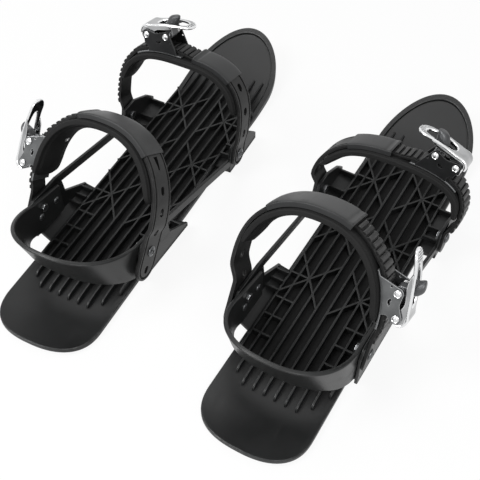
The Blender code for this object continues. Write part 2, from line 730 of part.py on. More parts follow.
class Arch:
    """Path of a strap's inner face over the boot, in the plane that swings about the ear bolts.

    Distances run from the crown, positive towards the ladder's bolt. The path has one point each tooth pitch.
    """

    def __init__(self, face, bulges, seat, side, rise, power, sway):
        self.step = TOOTH_PITCH
        strap, self.strap_pivot = self.half(face, bulges[0], seat, side, rise, power)
        ladder_side, self.ladder_pivot = self.half(face, bulges[1], seat, side, rise, power)
        self.points = np.concatenate([strap[:0:-1] * (-1, 1), ladder_side])
        height = np.clip((self.points[:, 1] - seat) / (side + rise - seat), 0, 1)
        self.points[:, 0] += sway * height * height * (3 - 2 * height)
        self.first = 1 - len(strap)
        along = np.gradient(self.points, axis=0)
        along /= np.linalg.norm(along, axis=1, keepdims=True)
        self.normals = np.stack([-along[:, 1], along[:, 0]], -1)
        chords = np.diff(self.points, axis=0)
        chords /= np.linalg.norm(chords, axis=1, keepdims=True)
        mitre = np.ones(len(self.points))
        mitre[1:-1] = np.sum(chords[1:] * along[1:-1], axis=1)
        self.normals /= mitre[:, None]

    def half(self, face, bulge, seat, side, rise, power):
        """Evenly spaced points from the crown down one side, and the distance of the ear bolt along them."""
        points = []
        for a in np.linspace(0, math.pi / 2, PATH_POINTS):
            up = max(math.cos(a), 0)
            points.append(((face + bulge) * math.sin(a) ** power, side + rise * up ** power))
        for k in np.linspace(0, 1, PATH_SIDE_POINTS)[1:]:
            points.append((face + bulge * (1 - k * k * (3 - 2 * k)), side + (seat - side) * k))
        points.append((face, -PATH_FOOT))
        points = np.array(points)
        lengths = np.concatenate([[0], np.cumsum(np.hypot(*np.diff(points, axis=0).T))])
        grid = np.arange(int((lengths[-1] - PATH_PROBE) / self.step) + 1) * self.step
        even = [np.interp(grid, lengths, points[:, axis]) for axis in (0, 1)]
        return np.stack(even, -1), float(np.interp(0, -points[:, 1], lengths))

    def at(self, s, r=0.0):
        """Point (x, height) at distance s along the path and r outwards from it."""
        place = s / self.step - self.first
        i = min(max(int(math.floor(place)), 0), len(self.points) - 2)
        f = place - i
        offset = self.points + r * self.normals
        return offset[i] * (1 - f) + offset[i + 1] * f

    def stations(self, start, end, stride=2):
        """Distances at which a piece from start to end needs a section."""
        first = math.ceil((start + END_SPARE) / (self.step * stride))
        last = math.floor((end - END_SPARE) / (self.step * stride))
        return [start] + [k * self.step * stride for k in range(first, last + 1)] + [end]

    def frame(self, s, r=0.0):
        """Frame at the path: X along it outwards, Y to the front, Z away from the boot."""
        ahead, behind = self.at(s + PATH_PROBE), self.at(s - PATH_PROBE)
        along = Vector((ahead[0] - behind[0], 0, ahead[1] - behind[1])).normalized()
        out = Vector((-along.z, 0, along.x))
        x, u = self.at(s, r)
        return Matrix(((along.x, 0, out.x, x), (0, 1, 0, 0), (along.z, 0, out.z, u), (0, 0, 0, 1)))


def ribbon(arch, sections):
    """Piece along an arch from sections of (distance, [(across, out), ...])."""
    rings = []
    for s, section in sections:
        ring = []
        for across, out in section:
            x, u = arch.at(s, out)
            ring.append((x, across, u))
        rings.append(ring)
    return loft(rings)


def flat_section(half, low, high, chamfer):
    chamfer = min(chamfer, half * 0.5)
    return [(-half, low), (half, low), (half, high - chamfer), (half - chamfer, high),
            (-half + chamfer, high), (-half, high - chamfer)]


def rounded_half(half, distance):
    """Half width at a distance from a round end of a strap."""
    if distance >= half:
        return half
    return math.sqrt(max(half ** 2 - (half - distance) ** 2, (half * ROUND_END_LEAST) ** 2))


def round_end_stations(end, half, sign):
    return [end + sign * half * k for k in ROUND_END_SHARES]


def adjusting_strap(arch, half, tail, pitch, end):
    """Strap with a round tail and a row of slots; its bolt goes through the second hole from the tail."""
    start = -(arch.strap_pivot + tail)
    places = sorted(set(arch.stations(start, end) + round_end_stations(start, half, 1)))
    sections = []
    for s in places:
        width = rounded_half(half, s - start)
        sections.append((s, flat_section(width, 0, STRAP_THICKNESS, STRAP_CHAMFER)))
    cutters = []
    frame = arch.frame(-arch.strap_pivot, STRAP_THICKNESS / 2)
    cutters.append(slab([circle((0, 0), shank_hole)], 4 * STRAP_THICKNESS, frame))
    numbers = [k for k in (-1, 1, 2, 3) if k * pitch > -tail + STRAP_HOLE_LENGTH]
    for k in numbers:
        frame = arch.frame(-arch.strap_pivot + k * pitch, STRAP_THICKNESS / 2)
        slot = stadium((0, 0), STRAP_HOLE_LENGTH, STRAP_HOLE_WIDTH)
        cutters.append(slab([slot], 4 * STRAP_THICKNESS, frame))
    return combined(ribbon(arch, sections), cut=cutters)


def liner_section(half, taper):
    """Pad section: grooved margins outside, a crowned face to the boot and drawn-in sides."""
    high = -LINER_GAP
    low = high - LINER_THICKNESS * taper
    groove = LINER_GROOVE_WIDTH
    depth = LINER_GROOVE_DEPTH * taper
    edge = half - LINER_EDGE
    lip = half - LINER_LIP
    crown = LINER_CROWN * taper
    return [(-half, (high + low) / 2), (-edge, low + crown), (0, low - crown), (edge, low + crown),
            (half, (high + low) / 2), (lip, high), (edge, high), (edge - groove / 2, high - depth),
            (edge - groove, high), (-edge + groove, high), (-edge + groove / 2, high - depth), (-edge, high),
            (-lip, high)]


def liner(arch, half, start, end):
    sections = []
    for s in arch.stations(start, end):
        ease = math.sin(min(1.0, (s - start) / LINER_END_TAPER, (end - s) / LINER_END_TAPER) * math.pi / 2)
        width = half * (LINER_END_WIDTH + (1 - LINER_END_WIDTH) * ease)
        taper = LINER_END_THICKNESS + (1 - LINER_END_THICKNESS) * ease
        sections.append((s, liner_section(width, taper)))
    return ribbon(arch, sections)


def cover(arch, strap_half, centre, length):
    """Sleeve over the meeting ends of strap and ladder, open at both ends and on the liner's side."""
    top_inside = tooth_tip + 2 * CLEARANCE
    sections = []
    for s in arch.stations(centre - length / 2, centre + length / 2):
        half = strap_half + COVER_OVERHANG
        top = top_inside + COVER_WALL
        inner = half - COVER_WALL
        sections.append((s, [(-half, 0), (-half, top - COVER_BEVEL), (-half + COVER_BEVEL, top),
                             (half - COVER_BEVEL, top), (half, top - COVER_BEVEL), (half, 0), (inner, 0),
                             (inner, top_inside), (-inner, top_inside), (-inner, 0)]))
    return ribbon(arch, sections)


def ladder(arch, start, buckle):
    """Toothed strap from under the cover, through the buckle and down to the outer ear bolt."""
    end = arch.ladder_pivot + LADDER_TAIL
    half = LADDER_WIDTH / 2
    raised = (buckle - BASE_FREE_LENGTH, buckle + BASE_HEEL_LENGTH)
    toothed_end = arch.ladder_pivot - TOOTH_FREE_END
    places = arch.stations(start, end, stride=1)
    tips = [s + arch.step - TOOTH_FACE for s in places[1:-1] if s + arch.step < toothed_end]
    places = sorted(set(places + tips + round_end_stations(end, half, -1)))
    sections = []
    for s in places:
        away = max(raised[0] - s, s - raised[1], 0.0)
        low = ladder_lift * max(0.0, 1 - away / LADDER_RAMP)
        high = low + LADDER_THICKNESS + (TOOTH_HEIGHT if s in tips else 0)
        width = rounded_half(half, end - s)
        sections.append((s, [(-width, low), (width, low), (width, high), (-width, high)]))
    frame = arch.frame(arch.ladder_pivot, LADDER_THICKNESS / 2)
    hole = slab([circle((0, 0), shank_hole)], 4 * STRAP_THICKNESS, frame)
    return combined(ribbon(arch, sections), cut=[hole])


def plate_frame(frame, y=0.0):
    """Frame whose XY plane is the buckle's side plane, through a place across it."""
    swap = Matrix(((1, 0, 0, 0), (0, 0, -1, y), (0, 1, 0, 0), (0, 0, 0, 1)))
    return frame @ swap


def buckle_base(arch, place, frame, pin_z):
    """Curved plate under the ladder with two upright cheeks that carry the pins."""
    half = BUCKLE_WIDTH / 2
    start, end = place - BASE_FREE_LENGTH, place + BASE_HEEL_LENGTH
    sections = [(s, [(-half, 0), (half, 0), (half, BASE_THICKNESS), (-half, BASE_THICKNESS)])
                for s in arch.stations(start, end)]
    inverse = frame.inverted()
    foot = []
    for s in arch.stations(start + CHEEK_FREE_RUN, end - CHEEK_HEEL_RUN):
        x, u = arch.at(s, BASE_THICKNESS / 2)
        spot = inverse @ Vector((x, 0, u))
        foot.append((spot.x, spot.z))
    pin_x = PIN_SPACING / 2
    crest = arc((pin_x, pin_z), CHEEK_ROUND, -20, 90, CHEEK_STEPS)
    crest += arc((-pin_x, pin_z), CHEEK_ROUND, 90, 170, CHEEK_STEPS)
    outline = foot + crest
    holes = [circle((x, pin_z), pin_hole, TURN_STEPS) for x in (pin_x, -pin_x)]
    cheeks = []
    for side in (-1, 1):
        y = side * (half - CHEEK_THICKNESS / 2)
        cheeks.append(slab([outline] + holes, CHEEK_THICKNESS, plate_frame(frame, y)))
    return combined(ribbon(arch, sections), add=cheeks)


def lever(length, tip_bar, pin_z):
    """Pull lever about its pin at the origin: bowed plate with a window, side flanges and a toothed hub."""
    crest = LEVER_RISE + LEVER_BOW
    curl = LEVER_CURL
    back = [(-length / 2, crest), (-length / 4, LEVER_RISE + LEVER_BOW / 2), (-curl / 2, LEVER_RISE)]
    mid = [(-length, crest - LEVER_TIP_DROP), (-length + LEVER_TIP_RUN, crest - LEVER_TIP_DROP / 2)] + back
    mid += arc((0, LEVER_RISE - curl), curl, 75, 0, CHEEK_STEPS) + [(curl, 0)]
    upper, lower = [], []
    for i, (x, z) in enumerate(mid):
        before, after = mid[max(i - 1, 0)], mid[min(i + 1, len(mid) - 1)]
        along = Vector((after[0] - before[0], after[1] - before[1])).normalized()
        upper.append((x - along.y * LEVER_PLATE / 2, z + along.x * LEVER_PLATE / 2))
        lower.append((x + along.y * LEVER_PLATE / 2, z - along.x * LEVER_PLATE / 2))
    upright = plate_frame(Matrix.Identity(4))
    plate = slab([lower + upper[::-1]], 2 * lever_half_width, upright)
    root = LEVER_HUB_RADIUS
    reach = pin_z - DRIVE_REACH
    hub = [(-root, LEVER_RISE)] + arc((0, 0), root, 180, 270 - DRIVE_SPREAD, HUB_STEPS)
    for k in range(2 * DRIVE_TEETH + 1):
        angle = math.radians(270 + DRIVE_SPREAD * (k / DRIVE_TEETH - 1))
        radius = reach if k % 2 else reach - DRIVE_TOOTH
        hub.append((radius * math.cos(angle), radius * math.sin(angle)))
    hub += arc((0, 0), root, 270 + DRIVE_SPREAD, 360, HUB_STEPS) + [(root, LEVER_RISE)]
    pieces = [slab([hub, circle((0, 0), pin_hole, TURN_STEPS)], 2 * lever_half_width, upright)]
    flange_end = -length * FLANGE_SHARE
    flange = [(flange_end, crest - LEVER_TIP_DROP / 4), (flange_end + FLANGE_RUN, FLANGE_FOOT),
              (-root / 2, FLANGE_FOOT), (-root / 2, LEVER_RISE)] + back[::-1]
    corners = []
    middle = lever_half_width - LEVER_TIP_ROUND
    beyond = -length - CUTTER_REACH
    outside = lever_half_width + CUTTER_REACH
    round_end = arc((-length + LEVER_TIP_ROUND, middle), LEVER_TIP_ROUND, 90, 180, TIP_STEPS)
    corner = round_end + [(beyond, middle), (beyond, outside), (round_end[0][0], outside)]
    over = Matrix.Translation((0, 0, LEVER_RISE))
    for side in (-1, 1):
        y = side * (lever_half_width - FLANGE_THICKNESS / 2 - CLEARANCE / 2)
        pieces.append(slab([flange], FLANGE_THICKNESS, plate_frame(Matrix.Identity(4), y)))
        corners.append(slab([[(x, side * y) for x, y in corner]], 4 * LEVER_RISE, over))
    window_start, window_end = -length + tip_bar, -LEVER_WINDOW_END
    slot = stadium(((window_start + window_end) / 2, 0), window_end - window_start, LEVER_WINDOW_WIDTH)
    return combined(plate, add=pieces, cut=[slab([slot], 4 * LEVER_RISE, over)] + corners)


def release_tab(pin_z):
    """Thumb dome on a neck, hub and holding pawl about the tab's pin at the origin."""
    depth = pin_z - PAWL_FLOOR
    outline = arc((0, 0), TAB_HUB_RADIUS, 180, TAB_HUB_END, TIP_STEPS)
    outline += [(PAWL_NOSE, -depth), (PAWL_REACH, -depth + PAWL_FACE), (TAB_HUB_RADIUS, PIN_RADIUS),
                (TAB_NECK_HALF, TAB_NECK), (-TAB_NECK_HALF, TAB_NECK)]
    upright = plate_frame(Matrix.Identity(4))
    hub = slab([outline, circle((0, 0), pin_hole, TURN_STEPS)], TAB_WIDTH, upright)
    rings = []
    for k in np.linspace(0, 1, DOME_SECTIONS):
        z = DOME_ROOT + (DOME_TOP - DOME_ROOT) * math.sin(k * math.pi / 2)
        share = DOME_TIP_SHARE + (1 - DOME_TIP_SHARE) * math.sqrt(1 - k ** 3)
        if k == 0:
            share = DOME_WAIST_SHARE
        x = -DOME_LEAN * k
        points = circle((0, 0), share / 2, DOME_POINTS)
        rings.append([(x + a * DOME_LENGTH, b * DOME_WIDTH, z) for a, b in points])
    return combined(hub, add=[loft(rings)])


def buckle_pin():
    half = BUCKLE_WIDTH / 2 + CLEARANCE
    edge = PIN_HEAD_RADIUS * PIN_HEAD_SHARE
    profile = [(0, half + PIN_HEAD_HEIGHT), (edge, half + PIN_HEAD_HEIGHT), (PIN_HEAD_RADIUS, half),
               (PIN_RADIUS, half), (PIN_RADIUS, -half), (PIN_HEAD_RADIUS, -half),
               (edge, -half - PIN_HEAD_HEIGHT), (0, -half - PIN_HEAD_HEIGHT)]
    pin = turned(profile)
    pin.data.transform(Matrix.Rotation(math.pi / 2, 4, "X"))
    return pin


def return_spring():
    """Torsion spring round the tab's pin, between the tab and the front cheek, with two straight legs."""
    radius = (PIN_RADIUS + CLEARANCE + SPRING_WIRE / 2) / math.cos(math.pi / SPRING_POINTS)
    start = TAB_WIDTH / 2 + CLEARANCE + SPRING_WIRE / 2
    points = [Vector((-SPRING_LEG, start, radius))]
    count = SPRING_TURNS * SPRING_POINTS
    for k in range(count + 1):
        angle = math.pi / 2 - 2 * math.pi * k / SPRING_POINTS
        y = start + SPRING_PITCH * k / SPRING_POINTS
        points.append(Vector((radius * math.cos(angle), y, radius * math.sin(angle))))
    last = points[-1]
    points.append(last + Vector((-SPRING_LEG, 0, 0)))
    least = min((points[i] - points[j]).length for i in range(len(points))
                for j in range(i + SPRING_POINTS // 2, len(points)))
    curve = bpy.data.curves.new("wire", "CURVE")
    curve.dimensions = "3D"
    curve.bevel_depth = SPRING_WIRE / 2
    curve.bevel_resolution = 1
    curve.use_fill_caps = True
    spline = curve.splines.new("POLY")
    spline.points.add(len(points) - 1)
    for point, place in zip(spline.points, points):
        point.co = (*place, 1)
    return as_mesh(placed("wire", curve, bench)), least - SPRING_WIRE


class Binding:
    """Sizes of one strap arch and its buckle."""

    def __init__(self, kind, side):
        ankle = kind == "ankle"
        self.prefix = side + "_" + kind
        self.mirrored = side == "left"
        self.pivot = (0, ANKLE_PIVOT_Y, ANKLE_PIVOT_Z) if ankle else (0, TOE_PIVOT_Y, TOE_PIVOT_Z)
        self.lean = (ANKLE_LEAN if ankle else TOE_LEAN)[side]
        self.wall_outer = rear_wall_outer if ankle else front_wall_outer
        self.wall_inner = wing_inner if ankle else front_wall_inner
        self.pin_z = PIN_HEIGHT[kind]
        face = self.wall_outer + CLEARANCE
        if ankle:
            self.arch = Arch(face, ANKLE_BULGE[side], ANKLE_SEAT, ANKLE_SIDE[side], ANKLE_RISE[side],
                             ANKLE_POWER[side], ANKLE_SWAY[side])
        else:
            self.arch = Arch(face, TOE_BULGE[side], TOE_SEAT, TOE_SIDE[side], TOE_RISE[side],
                             TOE_POWER[side], TOE_SWAY[side])
        self.strap_half = (ANKLE_STRAP_WIDTH if ankle else TOE_STRAP_WIDTH) / 2
        self.strap_tail = ANKLE_STRAP_TAIL if ankle else TOE_STRAP_TAIL
        self.hole_pitch = ANKLE_HOLE_PITCH if ankle else TOE_HOLE_PITCH
        self.liner_inner = ANKLE_LINER_INNER if ankle else TOE_LINER_INNER
        self.liner_outer = ANKLE_LINER_OUTER if ankle else TOE_LINER_OUTER
        self.cover_centre = ANKLE_COVER_CENTRE if ankle else TOE_COVER_CENTRE
        self.cover_length = ANKLE_COVER_LENGTH if ankle else TOE_COVER_LENGTH
        self.buckle_place = (ANKLE_BUCKLE_PLACE if ankle else TOE_BUCKLE_PLACE)[side]
        self.lever_length = ANKLE_LEVER_LENGTH if ankle else TOE_LEVER_LENGTH
        self.tip_bar = ANKLE_TIP_BAR if ankle else TOE_TIP_BAR


def binding(board, kind, side):
    """All pieces of one strap, on an empty that stands on the ear bolts' axis."""
    b = Binding(kind, side)
    arch = b.arch
    swing = axis_frame(b.prefix + "_swing_axis", board, b.pivot, b.lean - math.pi / 2)

    def add(name, solid, surface, place=(0, 0, 0)):
        return node(b.prefix + "_" + name, solid, swing, surface, place, b.mirrored)

    liner_half = b.strap_half + LINER_MARGIN
    strap_end = b.cover_centre - CLEARANCE
    add("strap", adjusting_strap(arch, b.strap_half, b.strap_tail, b.hole_pitch, strap_end), STRAP_PLASTIC)
    add("liner", liner(arch, liner_half, -b.liner_inner, b.liner_outer), LINER_FOAM)
    add("cover", cover(arch, b.strap_half, b.cover_centre, b.cover_length), COVER_PLASTIC)
    add("ladder", ladder(arch, b.cover_centre + CLEARANCE, b.buckle_place), LADDER_PLASTIC)
    frame = arch.frame(b.buckle_place)
    add("buckle_base", buckle_base(arch, b.buckle_place, frame, b.pin_z), BUCKLE_STEEL)
    reach = PIN_SPACING / 2
    for name, x, solid, surface in (("lever", reach, lever(b.lever_length, b.tip_bar, b.pin_z), LEVER_CHROME),
                                    ("release_tab", -reach, release_tab(b.pin_z), TAB_GREY),
                                    ("lever_pin", reach, buckle_pin(), PIN_STEEL),
                                    ("release_pin", -reach, buckle_pin(), PIN_STEEL),
                                    ("return_spring", -reach, return_spring()[0], SPRING_STEEL)):
        at = frame @ Matrix.Translation((x, 0, b.pin_z))
        solid.data.transform(at)
        add(name, solid, surface, at.translation)

    outward = -1 if b.mirrored else 1
    for name, way, thickness in (("strap_bolt", -outward, STRAP_THICKNESS),
                                 ("ladder_bolt", outward, LADDER_THICKNESS)):
        seat = b.wall_outer + CLEARANCE + thickness + CLEARANCE
        grip = seat - b.wall_inner + CLEARANCE
        bolt = fastener(BOLT_HEAD_RADIUS, BOLT_HEAD_HEIGHT, grip, NUT_RADIUS, NUT_HEIGHT)
        turned_to_x(bolt, way, way * seat, b.pivot[1], b.pivot[2])
        node(b.prefix + "_" + name, bolt, board, BOLT_STEEL)


def heel_bolts(board, side):
    """Four bolts with their heads inside the wings and their inserts sunk in the ears."""
    outward = {"left": -1, "right": 1}[side]
    seat = wing_inner - CLEARANCE
    grip = rear_wall_outer - INSERT_HEIGHT - seat
    for name, way in (("outer", outward), ("inner", -outward)):
        for end, (y, z) in (("front", heel_places[0]), ("rear", heel_places[1])):
            bolt = fastener(HEEL_HEAD_RADIUS, HEEL_HEAD_HEIGHT, grip, INSERT_RADIUS, INSERT_HEIGHT)
            turned_to_x(bolt, -way, way * seat, y, z)
            node(side + "_heel_bolt_" + name + "_" + end, bolt, board, BOLT_STEEL)


def board(side):
    """One board with its heel loop and both bindings."""
    hand = {"left": -1, "right": 1}[side]
    empty = axis_frame(side + "_board", None, (hand * BOARD_SPACING / 2, -hand * BOARD_STAGGER / 2, 0))
    empty.rotation_euler = (0, 0, -hand * TOE_OUT)
    node(side + "_deck", deck(), empty, DECK_NYLON)
    node(side + "_heel_loop", heel_loop(), empty, LOOP_NYLON)
    heel_bolts(empty, side)
    binding(empty, "ankle", side)
    binding(empty, "toe", side)
    return empty


def centre(boards):
    """Move the boards so that the middle of the pair's footprint is at the origin."""
    bpy.context.view_layer.update()
    meshes = [part for part in parts.objects if part.type == "MESH"]
    points = [part.matrix_world @ v.co for part in meshes for v in part.data.vertices]
    for axis in (0, 1):
        values = [point[axis] for point in points]
        for empty in boards:
            empty.location[axis] -= (min(values) + max(values)) / 2


centre([board(side) for side in ("left", "right")])
print("least gap of a spring to itself, mm:", round(return_spring()[1] * 1000, 3))
for spare in list(bench.objects):
    bpy.data.objects.remove(spare, do_unlink=True)
bpy.context.view_layer.update()
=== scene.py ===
"""Pair of short skiboards with heel loops and ratchet bindings, dressed for a plain white studio."""
import json
import math

import bpy
import numpy as np
from mathutils import Matrix, Vector

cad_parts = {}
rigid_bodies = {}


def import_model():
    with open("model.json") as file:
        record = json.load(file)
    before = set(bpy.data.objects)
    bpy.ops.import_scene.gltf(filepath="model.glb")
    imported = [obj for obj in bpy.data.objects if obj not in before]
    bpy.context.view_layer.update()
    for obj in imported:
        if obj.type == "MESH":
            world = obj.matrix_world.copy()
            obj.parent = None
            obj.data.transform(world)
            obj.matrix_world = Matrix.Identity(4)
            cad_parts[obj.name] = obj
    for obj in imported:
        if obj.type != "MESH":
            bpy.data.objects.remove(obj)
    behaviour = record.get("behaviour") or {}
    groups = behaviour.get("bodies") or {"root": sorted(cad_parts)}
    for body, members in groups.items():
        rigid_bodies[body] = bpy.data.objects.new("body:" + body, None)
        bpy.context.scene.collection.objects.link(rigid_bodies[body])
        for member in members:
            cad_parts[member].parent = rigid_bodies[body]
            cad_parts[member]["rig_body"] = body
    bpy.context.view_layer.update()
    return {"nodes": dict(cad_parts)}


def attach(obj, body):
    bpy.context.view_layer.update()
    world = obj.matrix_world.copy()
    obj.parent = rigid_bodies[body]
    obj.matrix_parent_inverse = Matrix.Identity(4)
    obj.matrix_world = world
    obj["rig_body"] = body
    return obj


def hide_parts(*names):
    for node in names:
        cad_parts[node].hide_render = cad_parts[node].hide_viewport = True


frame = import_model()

scene = bpy.context.scene

# Stance of the pair
BOARD_PLACE = {"left": (-0.105386, 0.0013, 0.0), "right": (0.110614, -0.0013, 0.0)}
TOE_OUT = math.radians(1.61)
CLEARANCE = 0.0003
HANDS = {"left": -1, "right": 1}

# Deck
DECK_LENGTH = 0.4390
DECK_WIDTH = 0.0968
DECK_THICKNESS = 0.0055
TAIL_ROUND = 0.0410
TAIL_POWER = 2.4
TAIL_CURVE_LENGTH = 0.0310
TAIL_CURVE_RADIUS = 0.1000
TIP_ROUND = 0.0680
TIP_CURVE_LENGTH = 0.0980
TIP_CURVE_RADIUS = 0.1700
RIM_WIDTH = 0.0050
RIM_HEIGHT = 0.0016
RIM_SINK = 0.0015
RIM_RUN_IN = 0.0240
GROOVE_DEPTH = 0.0009
GROOVE_EDGES = (-0.0006, 0.0014)
GROOVE_RUN_IN = 0.0060
RIB_PITCH = 0.0100
RIB_THICKNESS = 0.0019
RIB_TOP = 0.0120
RIB_RAMP = 0.0270
RIB_RAMP_STEPS = ((1.0, 1.0), (0.5, 0.97), (0.2, 0.88), (0.09, 0.78), (0.03, 0.62), (0.0, 0.45))
RIB_NOSE = 0.0120
# Gaps from tail and tip to the ends of each long rib, from the middle outwards
LONG_RIB_GAPS = ((0.0535, 0.0670), (0.0535, 0.0670), (0.0535, 0.0520), (0.0620, 0.0520))
EDGE_RIB_GAP = 0.0780
EDGE_RIB_INSET = 0.0050
STAR_OFFSET = 0.0250
STAR_ARM = (0.0200, 0.0270)
STAR_ROWS = (-0.0448, 0.0250, 0.0948)
CROSS_ROWS = (-0.0755, -0.0960, -0.1165)
POCKETS = (-0.1580, 0.1540)
POCKET_FADE = 0.0200

# Ears, struts and heel loop
EAR_WALL = 0.0030
EAR_FLOOR = 0.0045
EAR_RIB = (0.0066, 0.0150)
STRUT_HALF = 0.00425
EARS = {
    "ankle": dict(outline=((-0.1230, 0.0145), (-0.0425, 0.0065), (-0.0425, 0.0110), (-0.0735, 0.0300),
                           (-0.0765, 0.0515), (-0.0825, 0.05575), (-0.1170, 0.0570), (-0.1230, 0.0510)),
                  floor=((-0.1180, 0.0145), (-0.0425, 0.0065)), ribs=(-0.0500, -0.0605, -0.0710),
                  strut=(-0.0837, 0.0515), bolts=((-0.0935, 0.0380), (-0.1165, 0.0380))),
    "toe": dict(outline=((0.0375, 0.0060), (0.0945, 0.0060), (0.0945, 0.0140), (0.0835, 0.0240), (0.0595, 0.0360),
                         (0.0415, 0.0360), (0.0375, 0.0240)),
                floor=((0.0375, 0.0060), (0.0945, 0.0060)), ribs=(0.0515, 0.0645, 0.0895), strut=(0.0447, 0.0170),
                bolts=()),
}
HEEL_HOLE = 0.0042
LOOP_POWER = 0.83
LOOP_START, LOOP_FRONT = -0.1210, -0.0845
WING_SHARE = 0.70
# Height, drop along the wings, reach behind the heel and rise there of the loop's foot and top
LOOP_EDGES = ((0.0190, 0.0020, 0.0395, 0.0210), (0.0580, 0.0080, 0.0555, 0.0240))

half_width = DECK_WIDTH / 2
edge_rib_x = half_width - EDGE_RIB_INSET
tail_y, tip_y = -DECK_LENGTH / 2, DECK_LENGTH / 2
rim_start = tip_y - TIP_CURVE_LENGTH
wing_inner = half_width + 0.0028
BAND = 0.0038
rear_wall_inner = wing_inner + BAND + CLEARANCE
rear_wall_outer = rear_wall_inner + EAR_WALL
front_wall_outer = half_width + 0.0140
front_wall_inner = front_wall_outer - EAR_WALL

# Straps and buckles
STRAP_THICKNESS = 0.0035
LINER_THICKNESS = 0.0075
LADDER_THICKNESS = 0.0025
LADDER_HALF = 0.0100
TOOTH_PITCH = 0.0055
TOOTH_HEIGHT = 0.0017
BASE_THICKNESS = 0.0015
BASE_REACH = (0.0260, 0.0220)
BUCKLE_HALF = 0.0128
CHEEK = 0.0016
PIN_SPACING = 0.0205
PIN_RADIUS = 0.0020
PIN_HOLE = 0.0023
BOLT_HOLE = 0.0029
LEVER_RISE = 0.0082
LEVER_BOW = 0.0020
LEVER_DROP = 0.0016
LEVER_PLATE = 0.0026
LEVER_CURL = 0.0068
LEVER_WINDOW_END = 0.0080
LEVER_FRAME = 0.0036
LEVER_HUB = 0.0046
TAB_HUB = 0.0038
CLAW_GAP, PAWL_GAP = 0.0068, 0.0064
WIRE = 0.0009
BOLT_SHANK = 0.0025
SLOT = (0.0075, 0.0055)
STRAP_RELIEF = 0.0008
STRAP_INSETS = (0.0003, 0.0022, 0.0040)
LINER_OVERHANG = 0.0050
COVER_OVERHANG = 0.0036
COVER_WALL = 0.0016
TOOTHLESS_END = 0.0120
lever_half = BUCKLE_HALF - CHEEK - CLEARANCE

ARCHES = {
    ("left", "ankle"): dict(lean=54.5, rise=0.0725, side=0.0240, bulge=(0.0022, 0.0008), power=0.855, sway=0.0038,
                            buckle=0.0850),
    ("right", "ankle"): dict(lean=61.1, rise=0.0687, side=0.0322, bulge=(0.0066, 0.0008), power=0.885, sway=-0.0044,
                             buckle=0.0845),
    ("left", "toe"): dict(lean=74.4, rise=0.0642, side=0.0207, bulge=(0.0016, 0.0042), power=0.67, sway=0.0006,
                          buckle=0.0270),
    ("right", "toe"): dict(lean=71.6, rise=0.0456, side=0.0180, bulge=(0.0066, 0.0046), power=0.745, sway=0.0082,
                           buckle=0.0330),
}
# The cheeks' painted shade: 0.9 darkens the toe buckle's cheeks, 0.0 leaves the ankle buckle's as they are
KINDS = {
    "ankle": dict(pivot=(0, -0.1115, 0.0465), wall=rear_wall_outer, inner=wing_inner, seat=0.0150, half=0.0150,
                  tail=0.0290, pitch=0.0180, liner=(0.0880, 0.1000), cover=(-0.0130, 0.0710), lever=0.0560,
                  tip_bar=0.0125, tip_share=0.80, window_share=0.78, grip=(0.0020, 0.0022, 5), pin_height=0.0130,
                  cheek_painted_shade=0.0),
    "toe": dict(pivot=(0, 0.0505, 0.0240), wall=front_wall_outer, inner=front_wall_inner, seat=0.0080, half=0.0120,
                tail=0.0130, pitch=0.0230, liner=(0.0840, 0.0860), cover=(-0.0310, 0.0400), lever=0.0460,
                tip_bar=0.0070, tip_share=0.94, window_share=1.0, grip=(0.0014, 0.0019, 3), pin_height=0.0165,
                cheek_painted_shade=0.9),
}


class Value:
    """A socket's output with the sums that the finishes use."""

    def __init__(self, nodes, socket):
        self.nodes = nodes
        self.socket = socket

    def sum(self, operation, first, second):
        return self.nodes.node("ShaderNodeMath", {"operation": operation}, {0: first, 1: second})

    def __add__(self, other):
        return self.sum("ADD", self, other)

    def __radd__(self, other):
        return self.sum("ADD", other, self)

    def __sub__(self, other):
        return self.sum("SUBTRACT", self, other)

    def __rsub__(self, other):
        return self.sum("SUBTRACT", other, self)

    def __mul__(self, other):
        return self.sum("MULTIPLY", self, other)

    def __rmul__(self, other):
        return self.sum("MULTIPLY", other, self)


class Nodes:
    """A tree of nodes, all of them added by one method."""

    def __init__(self, owner):
        owner.use_nodes = True
        self.tree = owner.node_tree
        self.tree.nodes.clear()

    def node(self, kind, settings, sockets, output=0):
        made = self.tree.nodes.new(kind)
        for key, value in settings.items():
            if key == "stops":
                for stop, (place, shade) in zip(made.color_ramp.elements, value):
                    stop.position = place
                    stop.color = (shade, shade, shade, 1)
            else:
                setattr(made, key, value)
        for key, value in sockets.items():
            if isinstance(value, Value):
                self.tree.links.new(value.socket, made.inputs[key])
            else:
                made.inputs[key].default_value = value
        return Value(self, made.outputs[output]) if len(made.outputs) else None

    def seen(self):
        """1 for what the camera sees straight or in a gloss, 0 for the light that falls on things."""
        camera, gloss = [self.node("ShaderNodeLightPath", {}, {}, ray) for ray in ("Is Camera Ray", "Is Glossy Ray")]
        return camera + gloss


